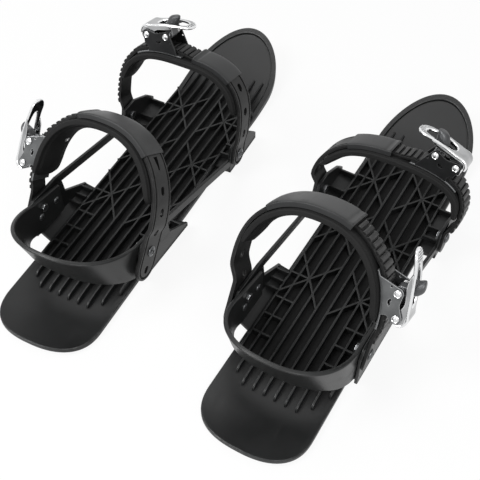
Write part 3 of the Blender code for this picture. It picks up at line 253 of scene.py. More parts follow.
class Finish(Nodes):
    """A material with the steps that the finishes share."""

    def __init__(self, name):
        self.material = bpy.data.materials.new(name)
        super().__init__(self.material)
        self.space = self.node("ShaderNodeTexCoord", {}, {}, "Object")

    def stretched(self, scale, turn):
        return self.node("ShaderNodeMapping", {}, {"Vector": self.space, "Scale": scale, "Rotation": turn})

    def noise(self, scale, detail, space=None):
        return self.node("ShaderNodeTexNoise", {}, {"Vector": space or self.space, "Scale": scale, "Detail": detail})

    def ramp(self, value, low, high, dark=0.0, light=1.0):
        return self.node("ShaderNodeValToRGB", {"stops": ((low, dark), (high, light))}, {"Fac": value})

    def mark(self, name):
        """Share marked on the pieces themselves, such as where a rounded edge runs."""
        return self.node("ShaderNodeAttribute", {"attribute_name": name}, {}, "Fac")

    def mixed(self, share, first, second):
        first = first if isinstance(first, Value) else (*first, 1)
        return self.node("ShaderNodeMix", {"data_type": "RGBA"}, {0: share, 6: first, 7: (*second, 1)}, 2)

    def bump(self, height, strength, distance):
        return self.node("ShaderNodeBump", {}, {"Strength": strength, "Distance": distance, "Height": height})

    def surface(self, **sockets):
        shader = self.node("ShaderNodeBsdfPrincipled", {}, {key.replace("_", " "): v for key, v in sockets.items()})
        return self.end(shader)

    def end(self, shader):
        self.node("ShaderNodeOutputMaterial", {}, {"Surface": shader})
        return self.material


def moulded(name, dark, light, edge_wear_and_highlight, roughness, relief, sheen):
    """Moulded plastic: fine grain, cloudy gloss, rubbed streaks, patchy wear with a painted highlight along its edges
    and painted shade where it is marked as recess.
    """
    f = Finish(name)
    cloud = f.noise(38, 4)
    fine = f.noise(2400, 2)
    streak = f.ramp(f.noise(120, 3, f.stretched((1, 0.12, 1), (0, 0, 0.5))), 0.60, 0.72)
    tone = f.ramp(cloud, 0.35, 0.68) * 0.7 + streak * 0.3
    # Edges lighter in patches: partly wear, partly a painted highlight
    wear_and_highlight = f.mark("edge") * f.ramp(f.noise(260, 4), 0.42, 0.60, 0.25, 1.0)
    recess = f.mark("recess")
    shade = f.mixed(wear_and_highlight, f.mixed(tone, dark, light), edge_wear_and_highlight)
    # Painted shade: the recess mark darkens the colour towards PLASTIC_SHADOW
    return f.surface(Base_Color=f.mixed(0.85 * recess, shade, PLASTIC_SHADOW),
                     Roughness=roughness - 0.06 + 0.12 * cloud + 0.08 * streak - 0.10 * wear_and_highlight + 0.4 * recess,
                     Specular_IOR_Level=sheen,
                     Normal=f.bump(fine + 0.4 * cloud, relief, 0.0002))


def foamed(name, dark, light):
    """Moulded foam with an open pebbled skin, smoother where it is rubbed."""
    f = Finish(name)
    cloud = f.noise(60, 4)
    cells = f.node("ShaderNodeTexVoronoi", {"feature": "SMOOTH_F1"}, {"Vector": f.space, "Scale": 1400.0})
    return f.surface(Base_Color=f.mixed(f.ramp(cloud, 0.3, 0.7), dark, light),
                     Roughness=0.60 + 0.20 * cloud,
                     Specular_IOR_Level=0.2,
                     Normal=f.bump(cells + 0.3 * f.noise(300, 3), 0.4, 0.0003))


def plated(name, dark, light, edge_wear_and_highlight, roughness, metal, smudges, relief):
    """Plated or polished metal with faint drawn lines, smudges and small pits, a painted highlight along its edges
    that on the dull metals is partly wear, and painted shade where it is marked as recess.
    """
    f = Finish(name)
    cloud = f.noise(90, 4)
    drawn_lines = f.noise(900, 2, f.stretched((1, 1, 0.06), (0.3, 0, 0.2)))
    pits = f.ramp(f.noise(700, 2), 0.66, 0.74)
    # Edges lighter: a painted highlight, on the dull metals partly wear
    shade = f.mixed(0.8 * f.mark("edge"), f.mixed(f.ramp(cloud, 0.3, 0.7), dark, light), edge_wear_and_highlight)
    # Painted shade: the recess mark darkens the colour towards METAL_SHADOW
    return f.surface(Base_Color=f.mixed(0.95 * f.mark("recess"), shade, METAL_SHADOW),
                     Roughness=roughness + smudges * cloud + 0.5 * smudges * drawn_lines + 0.1 * pits,
                     Metallic=metal,
                     Normal=f.bump(drawn_lines - 0.5 * pits, relief, 0.0001))


# Painted shade darkens towards these shadow colours; the edge colours are painted highlights, on the dull metals
# partly wear
PLASTIC_SHADOW, METAL_SHADOW = (0.0012,) * 3, (0.006, 0.006, 0.0065)
BRIGHT_EDGE_HIGHLIGHT, DULL_EDGE_WEAR_AND_HIGHLIGHT = (0.93, 0.935, 0.94), (0.34, 0.345, 0.35)
# Dark and light shade, edges partly worn and partly lit by a painted highlight, roughness, relief and sheen
MOULDED = {
    "deck_nylon": ((0.0052, 0.0055, 0.0056), (0.0095, 0.0098, 0.0100), (0.030, 0.031, 0.031), 0.40, 0.25, 0.3),
    "loop_nylon": ((0.0130, 0.0135, 0.0135), (0.0200, 0.0205, 0.0205), (0.038, 0.039, 0.039), 0.36, 0.15, 0.3),
    "strap_plastic": ((0.0056,) * 3, (0.0102,) * 3, (0.032,) * 3, 0.42, 0.15, 0.25),
    "cover_plastic": ((0.0150, 0.0155, 0.0160), (0.0230, 0.0235, 0.0240), (0.050, 0.051, 0.052), 0.38, 0.12, 0.3),
    "ladder_plastic": ((0.0045,) * 3, (0.0085,) * 3, (0.030,) * 3, 0.38, 0.1, 0.25),
}
# Dark and light shade, edges with a painted highlight and partly wear, roughness, metal, smudges and relief
PLATED = {
    "buckle_steel": ((0.098, 0.101, 0.103), (0.150, 0.154, 0.156), DULL_EDGE_WEAR_AND_HIGHLIGHT, 0.26, 0.8, 0.10, 0.05),
    "lever_chrome": ((0.30, 0.304, 0.308), (0.44, 0.445, 0.45), BRIGHT_EDGE_HIGHLIGHT, 0.04, 1.0, 0.04, 0.02),
    "tab_grey": ((0.045, 0.046, 0.048), (0.085, 0.087, 0.090), DULL_EDGE_WEAR_AND_HIGHLIGHT, 0.30, 0.6, 0.10, 0.05),
    "bolt_steel": ((0.080, 0.082, 0.085), (0.150, 0.154, 0.158), DULL_EDGE_WEAR_AND_HIGHLIGHT, 0.24, 0.85, 0.10, 0.05),
    "pin_steel": ((0.68, 0.685, 0.69), (0.78, 0.785, 0.79), BRIGHT_EDGE_HIGHLIGHT, 0.10, 1.0, 0.05, 0.05),
    "spring_steel": ((0.38,) * 3, (0.48,) * 3, DULL_EDGE_WEAR_AND_HIGHLIGHT, 0.25, 1.0, 0.10, 0.05),
}
FINISHES = {"liner_foam": foamed("liner_foam", (0.0055, 0.0056, 0.0056), (0.0100,) * 3)}
FINISHES.update({name: moulded(name, *row) for name, row in MOULDED.items()})
FINISHES.update({name: plated(name, *row) for name, row in PLATED.items()})


def only(*pieces):
    """These pieces selected and nothing else, the first one active."""
    bpy.ops.object.select_all(action="DESELECT")
    for piece in pieces:
        piece.select_set(True)
    bpy.context.view_layer.objects.active = pieces[0]


def worked(piece, kind, **settings):
    """Piece with one modifier applied to it."""
    only(piece)
    tool = piece.modifiers.new(kind, kind)
    for key, value in settings.items():
        setattr(tool, key, value)
    bpy.ops.object.modifier_apply(modifier=tool.name)
    return piece


def edited(piece, *steps):
    """Piece after steps in edit mode, each of them on all of it."""
    only(piece)
    bpy.ops.object.mode_set(mode="EDIT")
    for step in steps:
        bpy.ops.mesh.select_all(action="SELECT")
        step()
    bpy.ops.object.mode_set(mode="OBJECT")
    return piece


def closed(piece):
    return edited(piece, lambda: bpy.ops.mesh.remove_doubles(threshold=0.00001),
                  lambda: bpy.ops.mesh.normals_make_consistent(inside=False))


def sliced(piece, places, way=(1, 0, 0)):
    """Piece cut across at distances along one way, so that it can bend there."""
    cuts = [lambda at=at: bpy.ops.mesh.bisect(plane_co=Vector(way) * at, plane_no=way) for at in places]
    return edited(piece, *cuts)


def joined(pieces):
    only(*pieces)
    if len(pieces) > 1:
        bpy.ops.object.join()
    return bpy.context.object


def moved(piece, place):
    """Piece with its mesh put in place, its faces still outwards where the place mirrors it."""
    piece.data.transform(place)
    if place.determinant() < 0:
        piece.data.flip_normals()
    return piece


def points_of(piece):
    points = np.empty(len(piece.data.vertices) * 3)
    piece.data.vertices.foreach_get("co", points)
    return points.reshape(-1, 3)


def reshaped(piece, change):
    """Piece whose points are changed all at once by a function of their array."""
    piece.data.vertices.foreach_set("co", np.ascontiguousarray(change(points_of(piece)), float).ravel())
    piece.data.update()
    return piece


def edged(piece):
    """Piece whose slanting faces, the rounded edges of a flat plate, are marked for wear and a painted highlight."""
    mark = piece.data.attributes.new("edge", "FLOAT", "FACE")
    mark.data.foreach_set("value", [float(0.15 < abs(face.normal.z) < 0.985) for face in piece.data.polygons])
    return piece


def marked(piece, depth):
    """Piece whose points carry how deep in painted shade each of them lies."""
    mark = piece.data.attributes.new("recess", "FLOAT", "POINT")
    mark.data.foreach_set("value", np.clip(depth(points_of(piece)), 0, 1))
    return piece


def linked(data):
    """Object in the scene for a mesh, curve, lamp or camera."""
    piece = bpy.data.objects.new(data.name, data)
    scene.collection.objects.link(piece)
    return piece


def drawn(curve, lines, cyclic):
    """Mesh of a curve that runs through lines of points."""
    for line in lines:
        spline = curve.splines.new("POLY")
        spline.points.add(len(line) - 1)
        for point, at in zip(spline.points, line):
            point.co = (*at, 1)
        spline.use_cyclic_u = cyclic
    only(linked(curve))
    bpy.ops.object.convert(target="MESH")
    return closed(bpy.context.object)


def plate(outlines, thickness, edge, place=Matrix.Identity(4), rounds=1):
    """Flat piece of closed outlines about the XY plane with rounded edges; inner outlines are holes."""
    curve = bpy.data.curves.new("outline", "CURVE")
    curve.dimensions = "2D"
    curve.fill_mode = "BOTH"
    curve.extrude = thickness / 2 - edge
    curve.bevel_depth = edge
    curve.bevel_resolution = rounds
    curve.offset = -edge
    return moved(edged(drawn(curve, [[(x, y, 0) for x, y in outline] for outline in outlines], True)), place)


def primitive(add, **settings):
    """Object that one of Blender's own forms adds, with nothing else selected."""
    bpy.ops.object.select_all(action="DESELECT")
    add(**settings)
    return bpy.context.object


def grid_of(columns, rows, place):
    """Grid whose vertex at shares (u, v) of its two ways stands at place(u, v)."""
    piece = primitive(bpy.ops.mesh.primitive_grid_add, x_subdivisions=columns, y_subdivisions=rows, size=2)
    for vertex in piece.data.vertices:
        vertex.co = place((vertex.co.x + 1) / 2, (vertex.co.y + 1) / 2)
    return piece


def shell_of(columns, rows, place):
    """Tube whose section runs round with u and whose length runs with v, closed at both ends."""
    piece = primitive(bpy.ops.mesh.primitive_cylinder_add, vertices=columns, radius=1, depth=2, end_fill_type="NGON")
    sliced(piece, [2 * k / rows - 1 for k in range(1, rows)], (0, 0, 1))
    for vertex in piece.data.vertices:
        turn = math.atan2(vertex.co.y, vertex.co.x) / (2 * math.pi) % 1.0
        vertex.co = place(turn, (vertex.co.z + 1) / 2)
    return closed(piece)


def turned(profile, steps=32):
    """Solid of revolution about Z; the profile of (radius, z) runs down its outer side."""
    mesh = bpy.data.meshes.new("profile")
    mesh.from_pydata([(radius, 0, z) for radius, z in profile], [(i, i + 1) for i in range(len(profile) - 1)], [])
    return closed(worked(linked(mesh), "SCREW", axis="Z", steps=steps, render_steps=steps, use_merge_vertices=True,
                         merge_threshold=0.00001))


def cut(piece, tool):
    """Piece less another one, which goes."""
    worked(piece, "BOOLEAN", operation="DIFFERENCE", solver="EXACT", object=tool)
    bpy.data.objects.remove(tool)


def signed(value, power):
    """Power of a number that keeps its sign."""
    return math.copysign(abs(value) ** power, value)


def eased(share):
    """Share from 0 to 1 that starts and ends gently."""
    return share * share * (3 - 2 * share)


def swell(distance, width):
    """Height of a smooth bump, 1 in its middle, at a distance from there."""
    return math.exp(-(distance / width) ** 2)


def arc(centre, radius, start, end, count):
    return [(centre[0] + radius * math.cos(a), centre[1] + radius * math.sin(a))
            for a in np.radians(np.linspace(start, end, count))]


def circle(centre, radius, steps=24):
    return arc(centre, radius, 0, 360, steps + 1)[:-1]


def stadium(centre, length, width):
    reach = (length - width) / 2
    return (arc((centre[0] + reach, centre[1]), width / 2, -90, 90, 9)
            + arc((centre[0] - reach, centre[1]), width / 2, 90, 270, 9))


def smooth_line(points, count):
    """Points of an even curve through a few given ones."""
    given = np.array(points, float)
    lengths = np.concatenate([[0], np.cumsum(np.linalg.norm(np.diff(given, axis=0), axis=1))])
    slopes = np.gradient(given, lengths, axis=0)
    line = []
    for at in np.linspace(0, lengths[-1], count):
        i = min(int(np.searchsorted(lengths, at, side="right")) - 1, len(given) - 2)
        step = lengths[i + 1] - lengths[i]
        k = (at - lengths[i]) / step
        line.append((2 * k ** 3 - 3 * k ** 2 + 1) * given[i] + (k ** 3 - 2 * k ** 2 + k) * step * slopes[i]
                    + (3 * k ** 2 - 2 * k ** 3) * given[i + 1] + (k ** 3 - k ** 2) * step * slopes[i + 1])
    return [tuple(point) for point in line]


def bent(piece, places, line):
    """Piece bent along a line in the XZ plane: X runs along it by the places given, Z stands off it."""
    line = np.array(line)
    along = np.gradient(line, axis=0)
    along /= np.linalg.norm(along, axis=1, keepdims=True)

    def change(points):
        s, out = points[:, 0], points[:, 2]
        table = [np.interp(s, places, values) for values in (line[:, 0], line[:, 1], -along[:, 1], along[:, 0])]
        return np.stack([table[0] + out * table[2], points[:, 1], table[1] + out * table[3]], -1)

    return reshaped(piece, change)


def finished(piece, node, slot, smooth=38, name=None):
    """Piece that rides with a solid's body, stands for it unless it has its own name, and has a finish."""
    piece.name = (name or node) + "_piece"
    piece.data.name = piece.name
    piece.data.materials.clear()
    piece.data.materials.append(FINISHES[slot])
    only(piece)
    bpy.ops.object.shade_smooth_by_angle(angle=math.radians(smooth))
    worked(piece, "WEIGHTED_NORMAL", keep_sharp=True)
    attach(piece, frame["nodes"][node]["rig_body"])
    if name is None:
        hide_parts(node)
    return piece


UPRIGHT = Matrix(((1, 0, 0, 0), (0, 0, -1, 0), (0, 1, 0, 0), (0, 0, 0, 1)))


def upright(y=0.0):
    """Place of a plate whose outline is in the XZ plane at y."""
    return Matrix.Translation((0, y, 0)) @ UPRIGHT


def side_frame(x):
    """Place of a plate whose outline is in the YZ plane at x."""
    return Matrix(((0, 0, 1, x), (1, 0, 0, 0), (0, 1, 0, 0), (0, 0, 0, 1)))


def raised(z):
    return Matrix.Translation((0, 0, z))


def board_stand(side):
    return Matrix.Translation(BOARD_PLACE[side]) @ Matrix.Rotation(-HANDS[side] * TOE_OUT, 4, "Z")


def underside(y):
    """Height of the running surface at rows y."""
    tip = np.maximum(0.0, y - rim_start)
    tail = np.maximum(0.0, tail_y + TAIL_CURVE_LENGTH - y)
    rise = TIP_CURVE_RADIUS - np.sqrt(TIP_CURVE_RADIUS ** 2 - tip ** 2)
    return rise + TAIL_CURVE_RADIUS - np.sqrt(TAIL_CURVE_RADIUS ** 2 - tail ** 2)


def deck_outline(inset=0.0, start=tail_y):
    """Closed plan outline of the deck or of a line inside its edge, from a row onwards to the tip."""
    right = []
    for a in np.linspace(0, math.pi / 2, 40):
        x = half_width * math.sin(a) ** (2 / TAIL_POWER)
        right.append((x, tail_y + TAIL_ROUND * (1 - math.cos(a) ** (2 / TAIL_POWER))))
    for a in np.linspace(0, math.pi / 2, 48):
        right.append((half_width * math.cos(a), tip_y - TIP_ROUND * (1 - math.sin(a))))
    shrunk = []
    for i, (x, y) in enumerate(right):
        before, after = right[max(i - 1, 0)], right[min(i + 1, len(right) - 1)]
        along = Vector((after[0] - before[0], after[1] - before[1])).normalized()
        if i in (0, len(right) - 1):
            along = Vector((1 if i == 0 else -1, 0))
        shrunk.append((max(x - inset * along.y, 0.0), y + inset * along.x))
    kept = [point for point in shrunk if point[1] >= start]
    if start > tail_y:
        kept = [(kept[0][0], start)] + kept
    return kept + [(-x, y) for x, y in reversed(kept[:-1])]


def lifted(piece, rise):
    """Piece whose every point goes up by rise(rows)."""
    return reshaped(piece, lambda points: points + np.outer(rise(points[:, 1]), (0, 0, 1)))


def deck_plate():
    """Plate with a raised rim round the scooped tip, a groove inside it and painted shade on the floor of the pockets.
    """
    body = plate([deck_outline()[:-1]], DECK_THICKNESS, 0.0012, raised(DECK_THICKNESS / 2), 2)
    near, far = [deck_outline(RIM_WIDTH + edge, rim_start + GROOVE_RUN_IN) for edge in GROOVE_EDGES]
    cut(body, plate([near + far[::-1]], 4 * GROOVE_DEPTH, 0.0003, raised(DECK_THICKNESS + GROOVE_DEPTH)))
    sliced(body, np.concatenate([np.linspace(*POCKETS, 21), np.linspace(tail_y + 0.002, tail_y + TAIL_CURVE_LENGTH, 9),
                                 np.linspace(rim_start, tip_y - 0.002, 26)]), (0, 1, 0))
    sliced(body, (-edge_rib_x - 0.0010, -edge_rib_x, edge_rib_x, edge_rib_x + 0.0010))

    # Painted shade: the pockets' floor inside the edge ribs is darkened, fading out towards the pockets' ends
    def depth(points):
        inner = (np.abs(points[:, 0]) < edge_rib_x + 0.0005) & (points[:, 2] > DECK_THICKNESS / 2)
        fade = np.minimum(points[:, 1] - POCKETS[0], POCKETS[1] - points[:, 1]) / POCKET_FADE
        return inner * np.clip(fade, 0, 1)

    def rise(rows):
        fade = 1 - np.clip((rows - rim_start) / RIM_RUN_IN, 0, 1)
        return underside(rows) - fade * (RIM_HEIGHT + 0.0001)

    lifted(marked(body, depth), underside)
    ring = deck_outline(0.0, rim_start) + deck_outline(RIM_WIDTH, rim_start)[::-1]
    rim = plate([ring], RIM_HEIGHT + RIM_SINK, 0.0007, raised(DECK_THICKNESS + (RIM_HEIGHT - RIM_SINK) / 2), 2)
    sliced(rim, np.linspace(rim_start + 0.002, tip_y - 0.002, 26), (0, 1, 0))
    return [body, lifted(rim, rise)]


def long_rib(x, start, end):
    """Rib along the board, ramped at the rear and drawn down to a finger at the tip."""
    low = DECK_THICKNESS / 2
    bottom = [(start, low)] + [(y, underside(y) + low) for y in np.linspace(rim_start, end, 9) if y > start]
    ramp = [(start + RIB_RAMP * k, low + (RIB_TOP - low) * h) for k, h in RIB_RAMP_STEPS]
    stub = underside(end) + DECK_THICKNESS + 0.0016
    nose = [(end, stub - 0.0010), (end - 0.0005, stub), (end - RIB_NOSE, RIB_TOP + 0.0006)]
    if end < rim_start + 0.001:
        nose = [(end, RIB_TOP)]
    # Known fault: (end, low) isn't lifted with the underside, so a thin spike stands out below the tip's curve
    return shaded(plate([bottom + [(end, low)] + nose + ramp], RIB_THICKNESS, 0.0005, side_frame(x)))


def shaded(rib):
    """Rib with painted shade, darker towards the floor of the pockets, but not at its free rear end, and dark at its
    front.
    """
    def depth(points):
        painted_low_shade = (points[:, 1] > POCKETS[0] + 0.012) * (RIB_TOP - 0.0006 - points[:, 2]) / (RIB_TOP / 3)
        return np.where(points[:, 1] > POCKETS[1] - 0.0060, 0.8, painted_low_shade)

    return marked(rib, depth)


def wall(start, end, bottom=DECK_THICKNESS / 2, top=RIB_TOP):
    """Upright rib between two places in plan."""
    start, end = Vector(start), Vector(end)
    middle, half = (start + end) / 2, (end - start).length / 2
    turn = math.atan2(end.y - start.y, end.x - start.x)
    place = Matrix.Translation((middle.x, middle.y, (bottom + top) / 2)) @ Matrix.Rotation(turn, 4, "Z") @ UPRIGHT
    rise = (top - bottom) / 2
    return shaded(plate([[(-half, -rise), (half, -rise), (half, rise), (-half, rise)]], RIB_THICKNESS, 0.0004, place))


def deck_ribs():
    """Ribs along the board, crossed ones between them and ribs out to its edges."""
    ribs = []
    for side in (-1, 1):
        for k, (rear, front) in enumerate(LONG_RIB_GAPS):
            ribs.append(long_rib(side * (RIB_PITCH / 2 + k * RIB_PITCH), tail_y + rear, tip_y - front))
        ribs.append(long_rib(side * edge_rib_x, tail_y + EDGE_RIB_GAP, rim_start))
        x = side * STAR_OFFSET
        for row in STAR_ROWS:
            for arm in (-STAR_ARM[0], STAR_ARM[0]):
                ribs.append(wall((x + arm, row - STAR_ARM[1]), (x - arm, row + STAR_ARM[1])))
        for row in STAR_ROWS + CROSS_ROWS:
            ribs.append(wall((x, row), (side * edge_rib_x, row)))
    return ribs


def hull_bar(low, high):
    """Bar between two quadrilateral ends."""
    piece = primitive(bpy.ops.mesh.primitive_cube_add, size=2)
    for vertex in piece.data.vertices:
        end = high if vertex.co.y > 0 else low
        vertex.co = Vector(end[(vertex.co.x > 0, vertex.co.z > 0)])
    return worked(closed(piece), "BEVEL", width=0.0006, segments=2)


def ears(side):
    """Rear and front ears with floors, walls, ribs and the strut between them, for one side."""
    pieces, strut = [], []
    for kind, ear in EARS.items():
        outer = KINDS[kind]["wall"]
        middle = side * (outer - EAR_WALL / 2)
        holes = [circle(place, HEEL_HOLE) for place in ear["bolts"]] + [circle(KINDS[kind]["pivot"][1:], BOLT_HOLE)]
        pieces.append(plate([ear["outline"]] + holes, EAR_WALL, 0.0007, side_frame(middle), 2))
        pieces.append(hull_bar(*[{(False, False): (side * edge_rib_x, y, 0.0035),
                                  (False, True): (side * edge_rib_x, y, 0.0080),
                                  (True, False): (side * outer, y, z),
                                  (True, True): (side * outer, y, z + EAR_FLOOR)} for y, z in ear["floor"]]))
        pieces += [wall((side * edge_rib_x, row), (middle, row), *EAR_RIB) for row in ear["ribs"]]
        y, z = ear["strut"]
        strut.append({(a, b): (side * (outer - EAR_WALL * (not a)), y, z + (STRUT_HALF if b else -STRUT_HALF))
                      for a in (False, True) for b in (False, True)})
    return pieces + [hull_bar(*strut)]


def deck(side):
    pieces = deck_plate() + deck_ribs() + ears(-1) + ears(1)
    finished(moved(joined(pieces), board_stand(side)), side + "_deck", "deck_nylon")


def heel_loop(side):
    """Band that leans back behind the heel, with straight wings inside the rear ears."""
    def line(u):
        """Foot and top of the band's inner face, u from one wing's front to the other's."""
        hand, k = (-1, 1 - 2 * u) if u < 0.5 else (1, 2 * u - 1)
        if k > WING_SHARE:
            f = (k - WING_SHARE) / (1 - WING_SHARE)
            y = LOOP_START + (LOOP_FRONT - LOOP_START) * f
            return [Vector((hand * wing_inner, y, height - drop * f)) for height, drop, _, _ in LOOP_EDGES]
        a = (1 - k / WING_SHARE) * math.pi / 2
        x, back = hand * wing_inner * max(math.cos(a), 0) ** LOOP_POWER, math.sin(a) ** LOOP_POWER
        return [Vector((x, LOOP_START - reach * back, height + rise * back)) for height, _, reach, rise in LOOP_EDGES]

    def at(u, v):
        low, high = line(u)
        along = line(min(u + 0.004, 1))[1] - line(max(u - 0.004, 0))[1]
        out = Vector((along.y, -along.x, 0)).normalized()
        return low.lerp(high, v) + out * BAND / 2

    band = closed(worked(grid_of(150, 10, at), "SOLIDIFY", thickness=BAND, offset=0))
    worked(band, "BEVEL", width=0.0011, segments=3, limit_method="ANGLE", angle_limit=math.radians(50))
    finished(moved(band, board_stand(side)), side + "_heel_loop", "loop_nylon", 45)


def fastener(head_radius, head_height, grip, end_radius, end_height, sides=6):
    """Bolt with a domed cross-recessed head on z = 0 and its nut or insert below."""
    dome = [(head_radius * math.sin(a), head_height * math.cos(a)) for a in np.linspace(0, math.pi / 2 * 0.92, 9)]
    end = -grip - end_height
    bolt = turned(dome + [(head_radius, 0), (BOLT_SHANK, 0), (BOLT_SHANK, end), (0, end)])
    recess = head_radius * 1.15, head_radius * 0.20, head_height * 1.5
    for turn in (0, math.pi / 2):
        cut(bolt, primitive(bpy.ops.mesh.primitive_cube_add, size=1, location=(0, 0, head_height),
                            rotation=(0, 0, turn), scale=recess))
    nut = plate([circle((0, 0), end_radius, sides), circle((0, 0), BOLT_SHANK - 0.0001)], end_height, 0.0003,
                raised(-grip - end_height / 2))
    return joined([bolt, nut])


def turned_to_x(side, x, y, z):
    return Matrix.Translation((x, y, z)) @ Matrix.Rotation(side * math.pi / 2, 4, "Y")


def heel_bolts(side):
    seat = wing_inner - CLEARANCE
    for name, way in (("outer", HANDS[side]), ("inner", -HANDS[side])):
        for end, (y, z) in zip(("front", "rear"), EARS["ankle"]["bolts"]):
            bolt = fastener(0.0036, 0.0018, rear_wall_outer - 0.0014 - seat, 0.0038, 0.0014, 32)
            moved(bolt, board_stand(side) @ turned_to_x(-way, way * seat, y, z))
            finished(bolt, side + "_heel_bolt_" + name + "_" + end, "bolt_steel")


class Strap:
    """One strap over the boot: the line of its inner face and its stand in the world."""

    def __init__(self, side, kind):
        self.side, self.kind, self.prefix = side, kind, side + "_" + kind + "_"
        self.size = size = dict(KINDS[kind], **ARCHES[(side, kind)])
        self.strap_pivot, self.pivot = [self.half(bulge, TOOTH_PITCH)[1] for bulge in size["bulge"]]
        self.span = size["buckle"] - BASE_REACH[0], size["buckle"] + BASE_REACH[1]
        self.teeth = self.line(TOOTH_PITCH)
        self.path = self.line(0.0005)
        lean = Matrix.Rotation(math.radians(size["lean"] - 90), 4, "X")
        self.stand = board_stand(side) @ Matrix.Translation(size["pivot"]) @ lean @ Matrix.Diagonal(
            (HANDS[side], 1, 1, 1))

    def half(self, bulge, step):
        """Even points from the crown down one side, and the ear bolt's distance along them."""
        size = self.size
        face = size["wall"] + CLEARANCE
        points = [((face + bulge) * math.sin(a) ** size["power"],
                   size["side"] + size["rise"] * max(math.cos(a), 0) ** size["power"])
                  for a in np.linspace(0, math.pi / 2, 120)]
        for k in np.linspace(0, 1, 12)[1:]:
            points.append((face + bulge * (1 - eased(k)), size["side"] + (size["seat"] - size["side"]) * k))
        points = np.array(points + [(face, -0.08)])
        lengths = np.concatenate([[0], np.cumsum(np.hypot(*np.diff(points, axis=0).T))])
        grid = np.arange(int((lengths[-1] - 0.001) / step) + 1) * step
        even = np.stack([np.interp(grid, lengths, points[:, axis]) for axis in (0, 1)], -1)
        return even, float(np.interp(0, -points[:, 1], lengths))

    def line(self, step):
        """Distances from the crown and points of the whole line, leaning aside towards its top."""
        size = self.size
        inner, outer = [self.half(bulge, step)[0] for bulge in size["bulge"]]
        points = np.concatenate([inner[:0:-1] * (-1, 1), outer])
        height = np.clip((points[:, 1] - size["seat"]) / (size["side"] + size["rise"] - size["seat"]), 0, 1)
        points[:, 0] += size["sway"] * eased(height)
        return (np.arange(len(points)) + 1 - len(inner)) * step, points

    def at(self, s):
        places, points = self.teeth
        return Vector((float(np.interp(s, places, points[:, 0])), 0, float(np.interp(s, places, points[:, 1]))))

    def seat(self, s):
        """Frame on the line: X along it outwards, Y to the front, Z away from the boot."""
        along = (self.at(s + 0.001) - self.at(s - 0.001)).normalized()
        at = self.at(s)
        return Matrix(((along.x, 0, -along.z, at.x), (0, 1, 0, 0), (along.z, 0, along.x, at.z), (0, 0, 0, 1)))

    def wrapped(self, piece):
        """Flat piece bent over the boot: X runs along it from the crown, Y across it, Z away from the boot."""
        return moved(bent(piece, *self.path), self.stand)


def strip_outline(start, end, half, inset=0.0, round_start=True, round_end=False):
    """Outline of a strap from start to end with a round end where asked."""
    low, high, side = start + inset, end - inset, half - inset
    outline = []
    if round_end:
        outline += arc((high - side, 0), side, -90, 90, 17)
    else:
        outline += [(high, -side), (high, side)]
    if round_start:
        outline += arc((low + side, 0), side, 90, 270, 17)
    else:
        outline += [(low, side), (low, -side)]
    return outline


def adjusting_strap(strap):
    """Strap with a round tail, slots and a raised border with a groove inside it."""
    size, bolt = strap.size, -strap.strap_pivot
    start, end = bolt - size["tail"], size["cover"][0] - CLEARANCE
    slots = [circle((bolt, 0), BOLT_HOLE)]
    for k in (-1, 1, 2, 3):
        if k * size["pitch"] > SLOT[0] - size["tail"]:
            slots.append(stadium((bolt + k * size["pitch"], 0), *SLOT))
    if strap.kind == "ankle":
        tip = size["cover"][0] - size["cover"][1] / 2 - 0.0020
        slots.append([(tip, -0.0030), (tip, 0.0030), (tip - 0.0110, 0.0012), (tip - 0.0110, -0.0012)])
    low = STRAP_THICKNESS - STRAP_RELIEF
    base = plate([strip_outline(start, end, size["half"])] + slots, low, 0.0005, raised(low / 2))
    # Painted shade: the base's top, which shows in the groove inside the border, is darkened
    marked(base, lambda points: points[:, 2] > low - 0.0001)
    outer, inner, panel = [strip_outline(start, end, size["half"], inset) for inset in STRAP_INSETS]
    relief = [plate(outlines, 2 * STRAP_RELIEF, 0.0003, raised(low)) for outlines in ([outer, inner], [panel] + slots)]
    piece = sliced(joined([base] + relief), np.arange(start + 0.002, end, 0.0025))
    finished(strap.wrapped(piece), strap.prefix + "strap", "strap_plastic")


def padded_liner(strap):
    """Foam pad, square in section, with a crowned inner face, drawn-in ends and a sewn channel along both edges."""
    full = strap.size["half"] + LINER_OVERHANG
    start, end = -strap.size["liner"][0], strap.size["liner"][1]
    corner, run_out = 0.0060, 0.0160

    def at(u, v):
        s = start + (end - start) * (v - 0.045 * math.sin(2 * math.pi * v) / math.pi)
        near = min(s - start, end - s)
        ease = math.sin(min(1.0, near / run_out) * math.pi / 2)
        taper = 0.65 + 0.35 * ease
        rounding = corner - math.sqrt(max(corner ** 2 - max(corner - near, 0.0) ** 2, 0.0))
        half = full * (0.95 + 0.05 * ease) - rounding
        c, d = math.cos(2 * math.pi * u), math.sin(2 * math.pi * u)
        across, rise = half * signed(c, 0.36), signed(d, 0.30)
        edge = abs(across) / half
        thick = LINER_THICKNESS * taper / 2
        if d > 0:
            out = thick * rise - 0.0014 * taper * swell(edge - 0.845, 0.030)
        else:
            crown = 0.0015 * taper * (1 - 2 * min(edge / 0.9, 1) ** 2)
            out = (thick + crown) * rise + 0.0009 * swell(edge - 0.78, 0.035) * abs(rise)
        return Vector((s, across, out - 0.0005 - thick))

    pad = shell_of(96, 110, at)
    piece = finished(strap.wrapped(pad), strap.prefix + "liner", "liner_foam", 60)


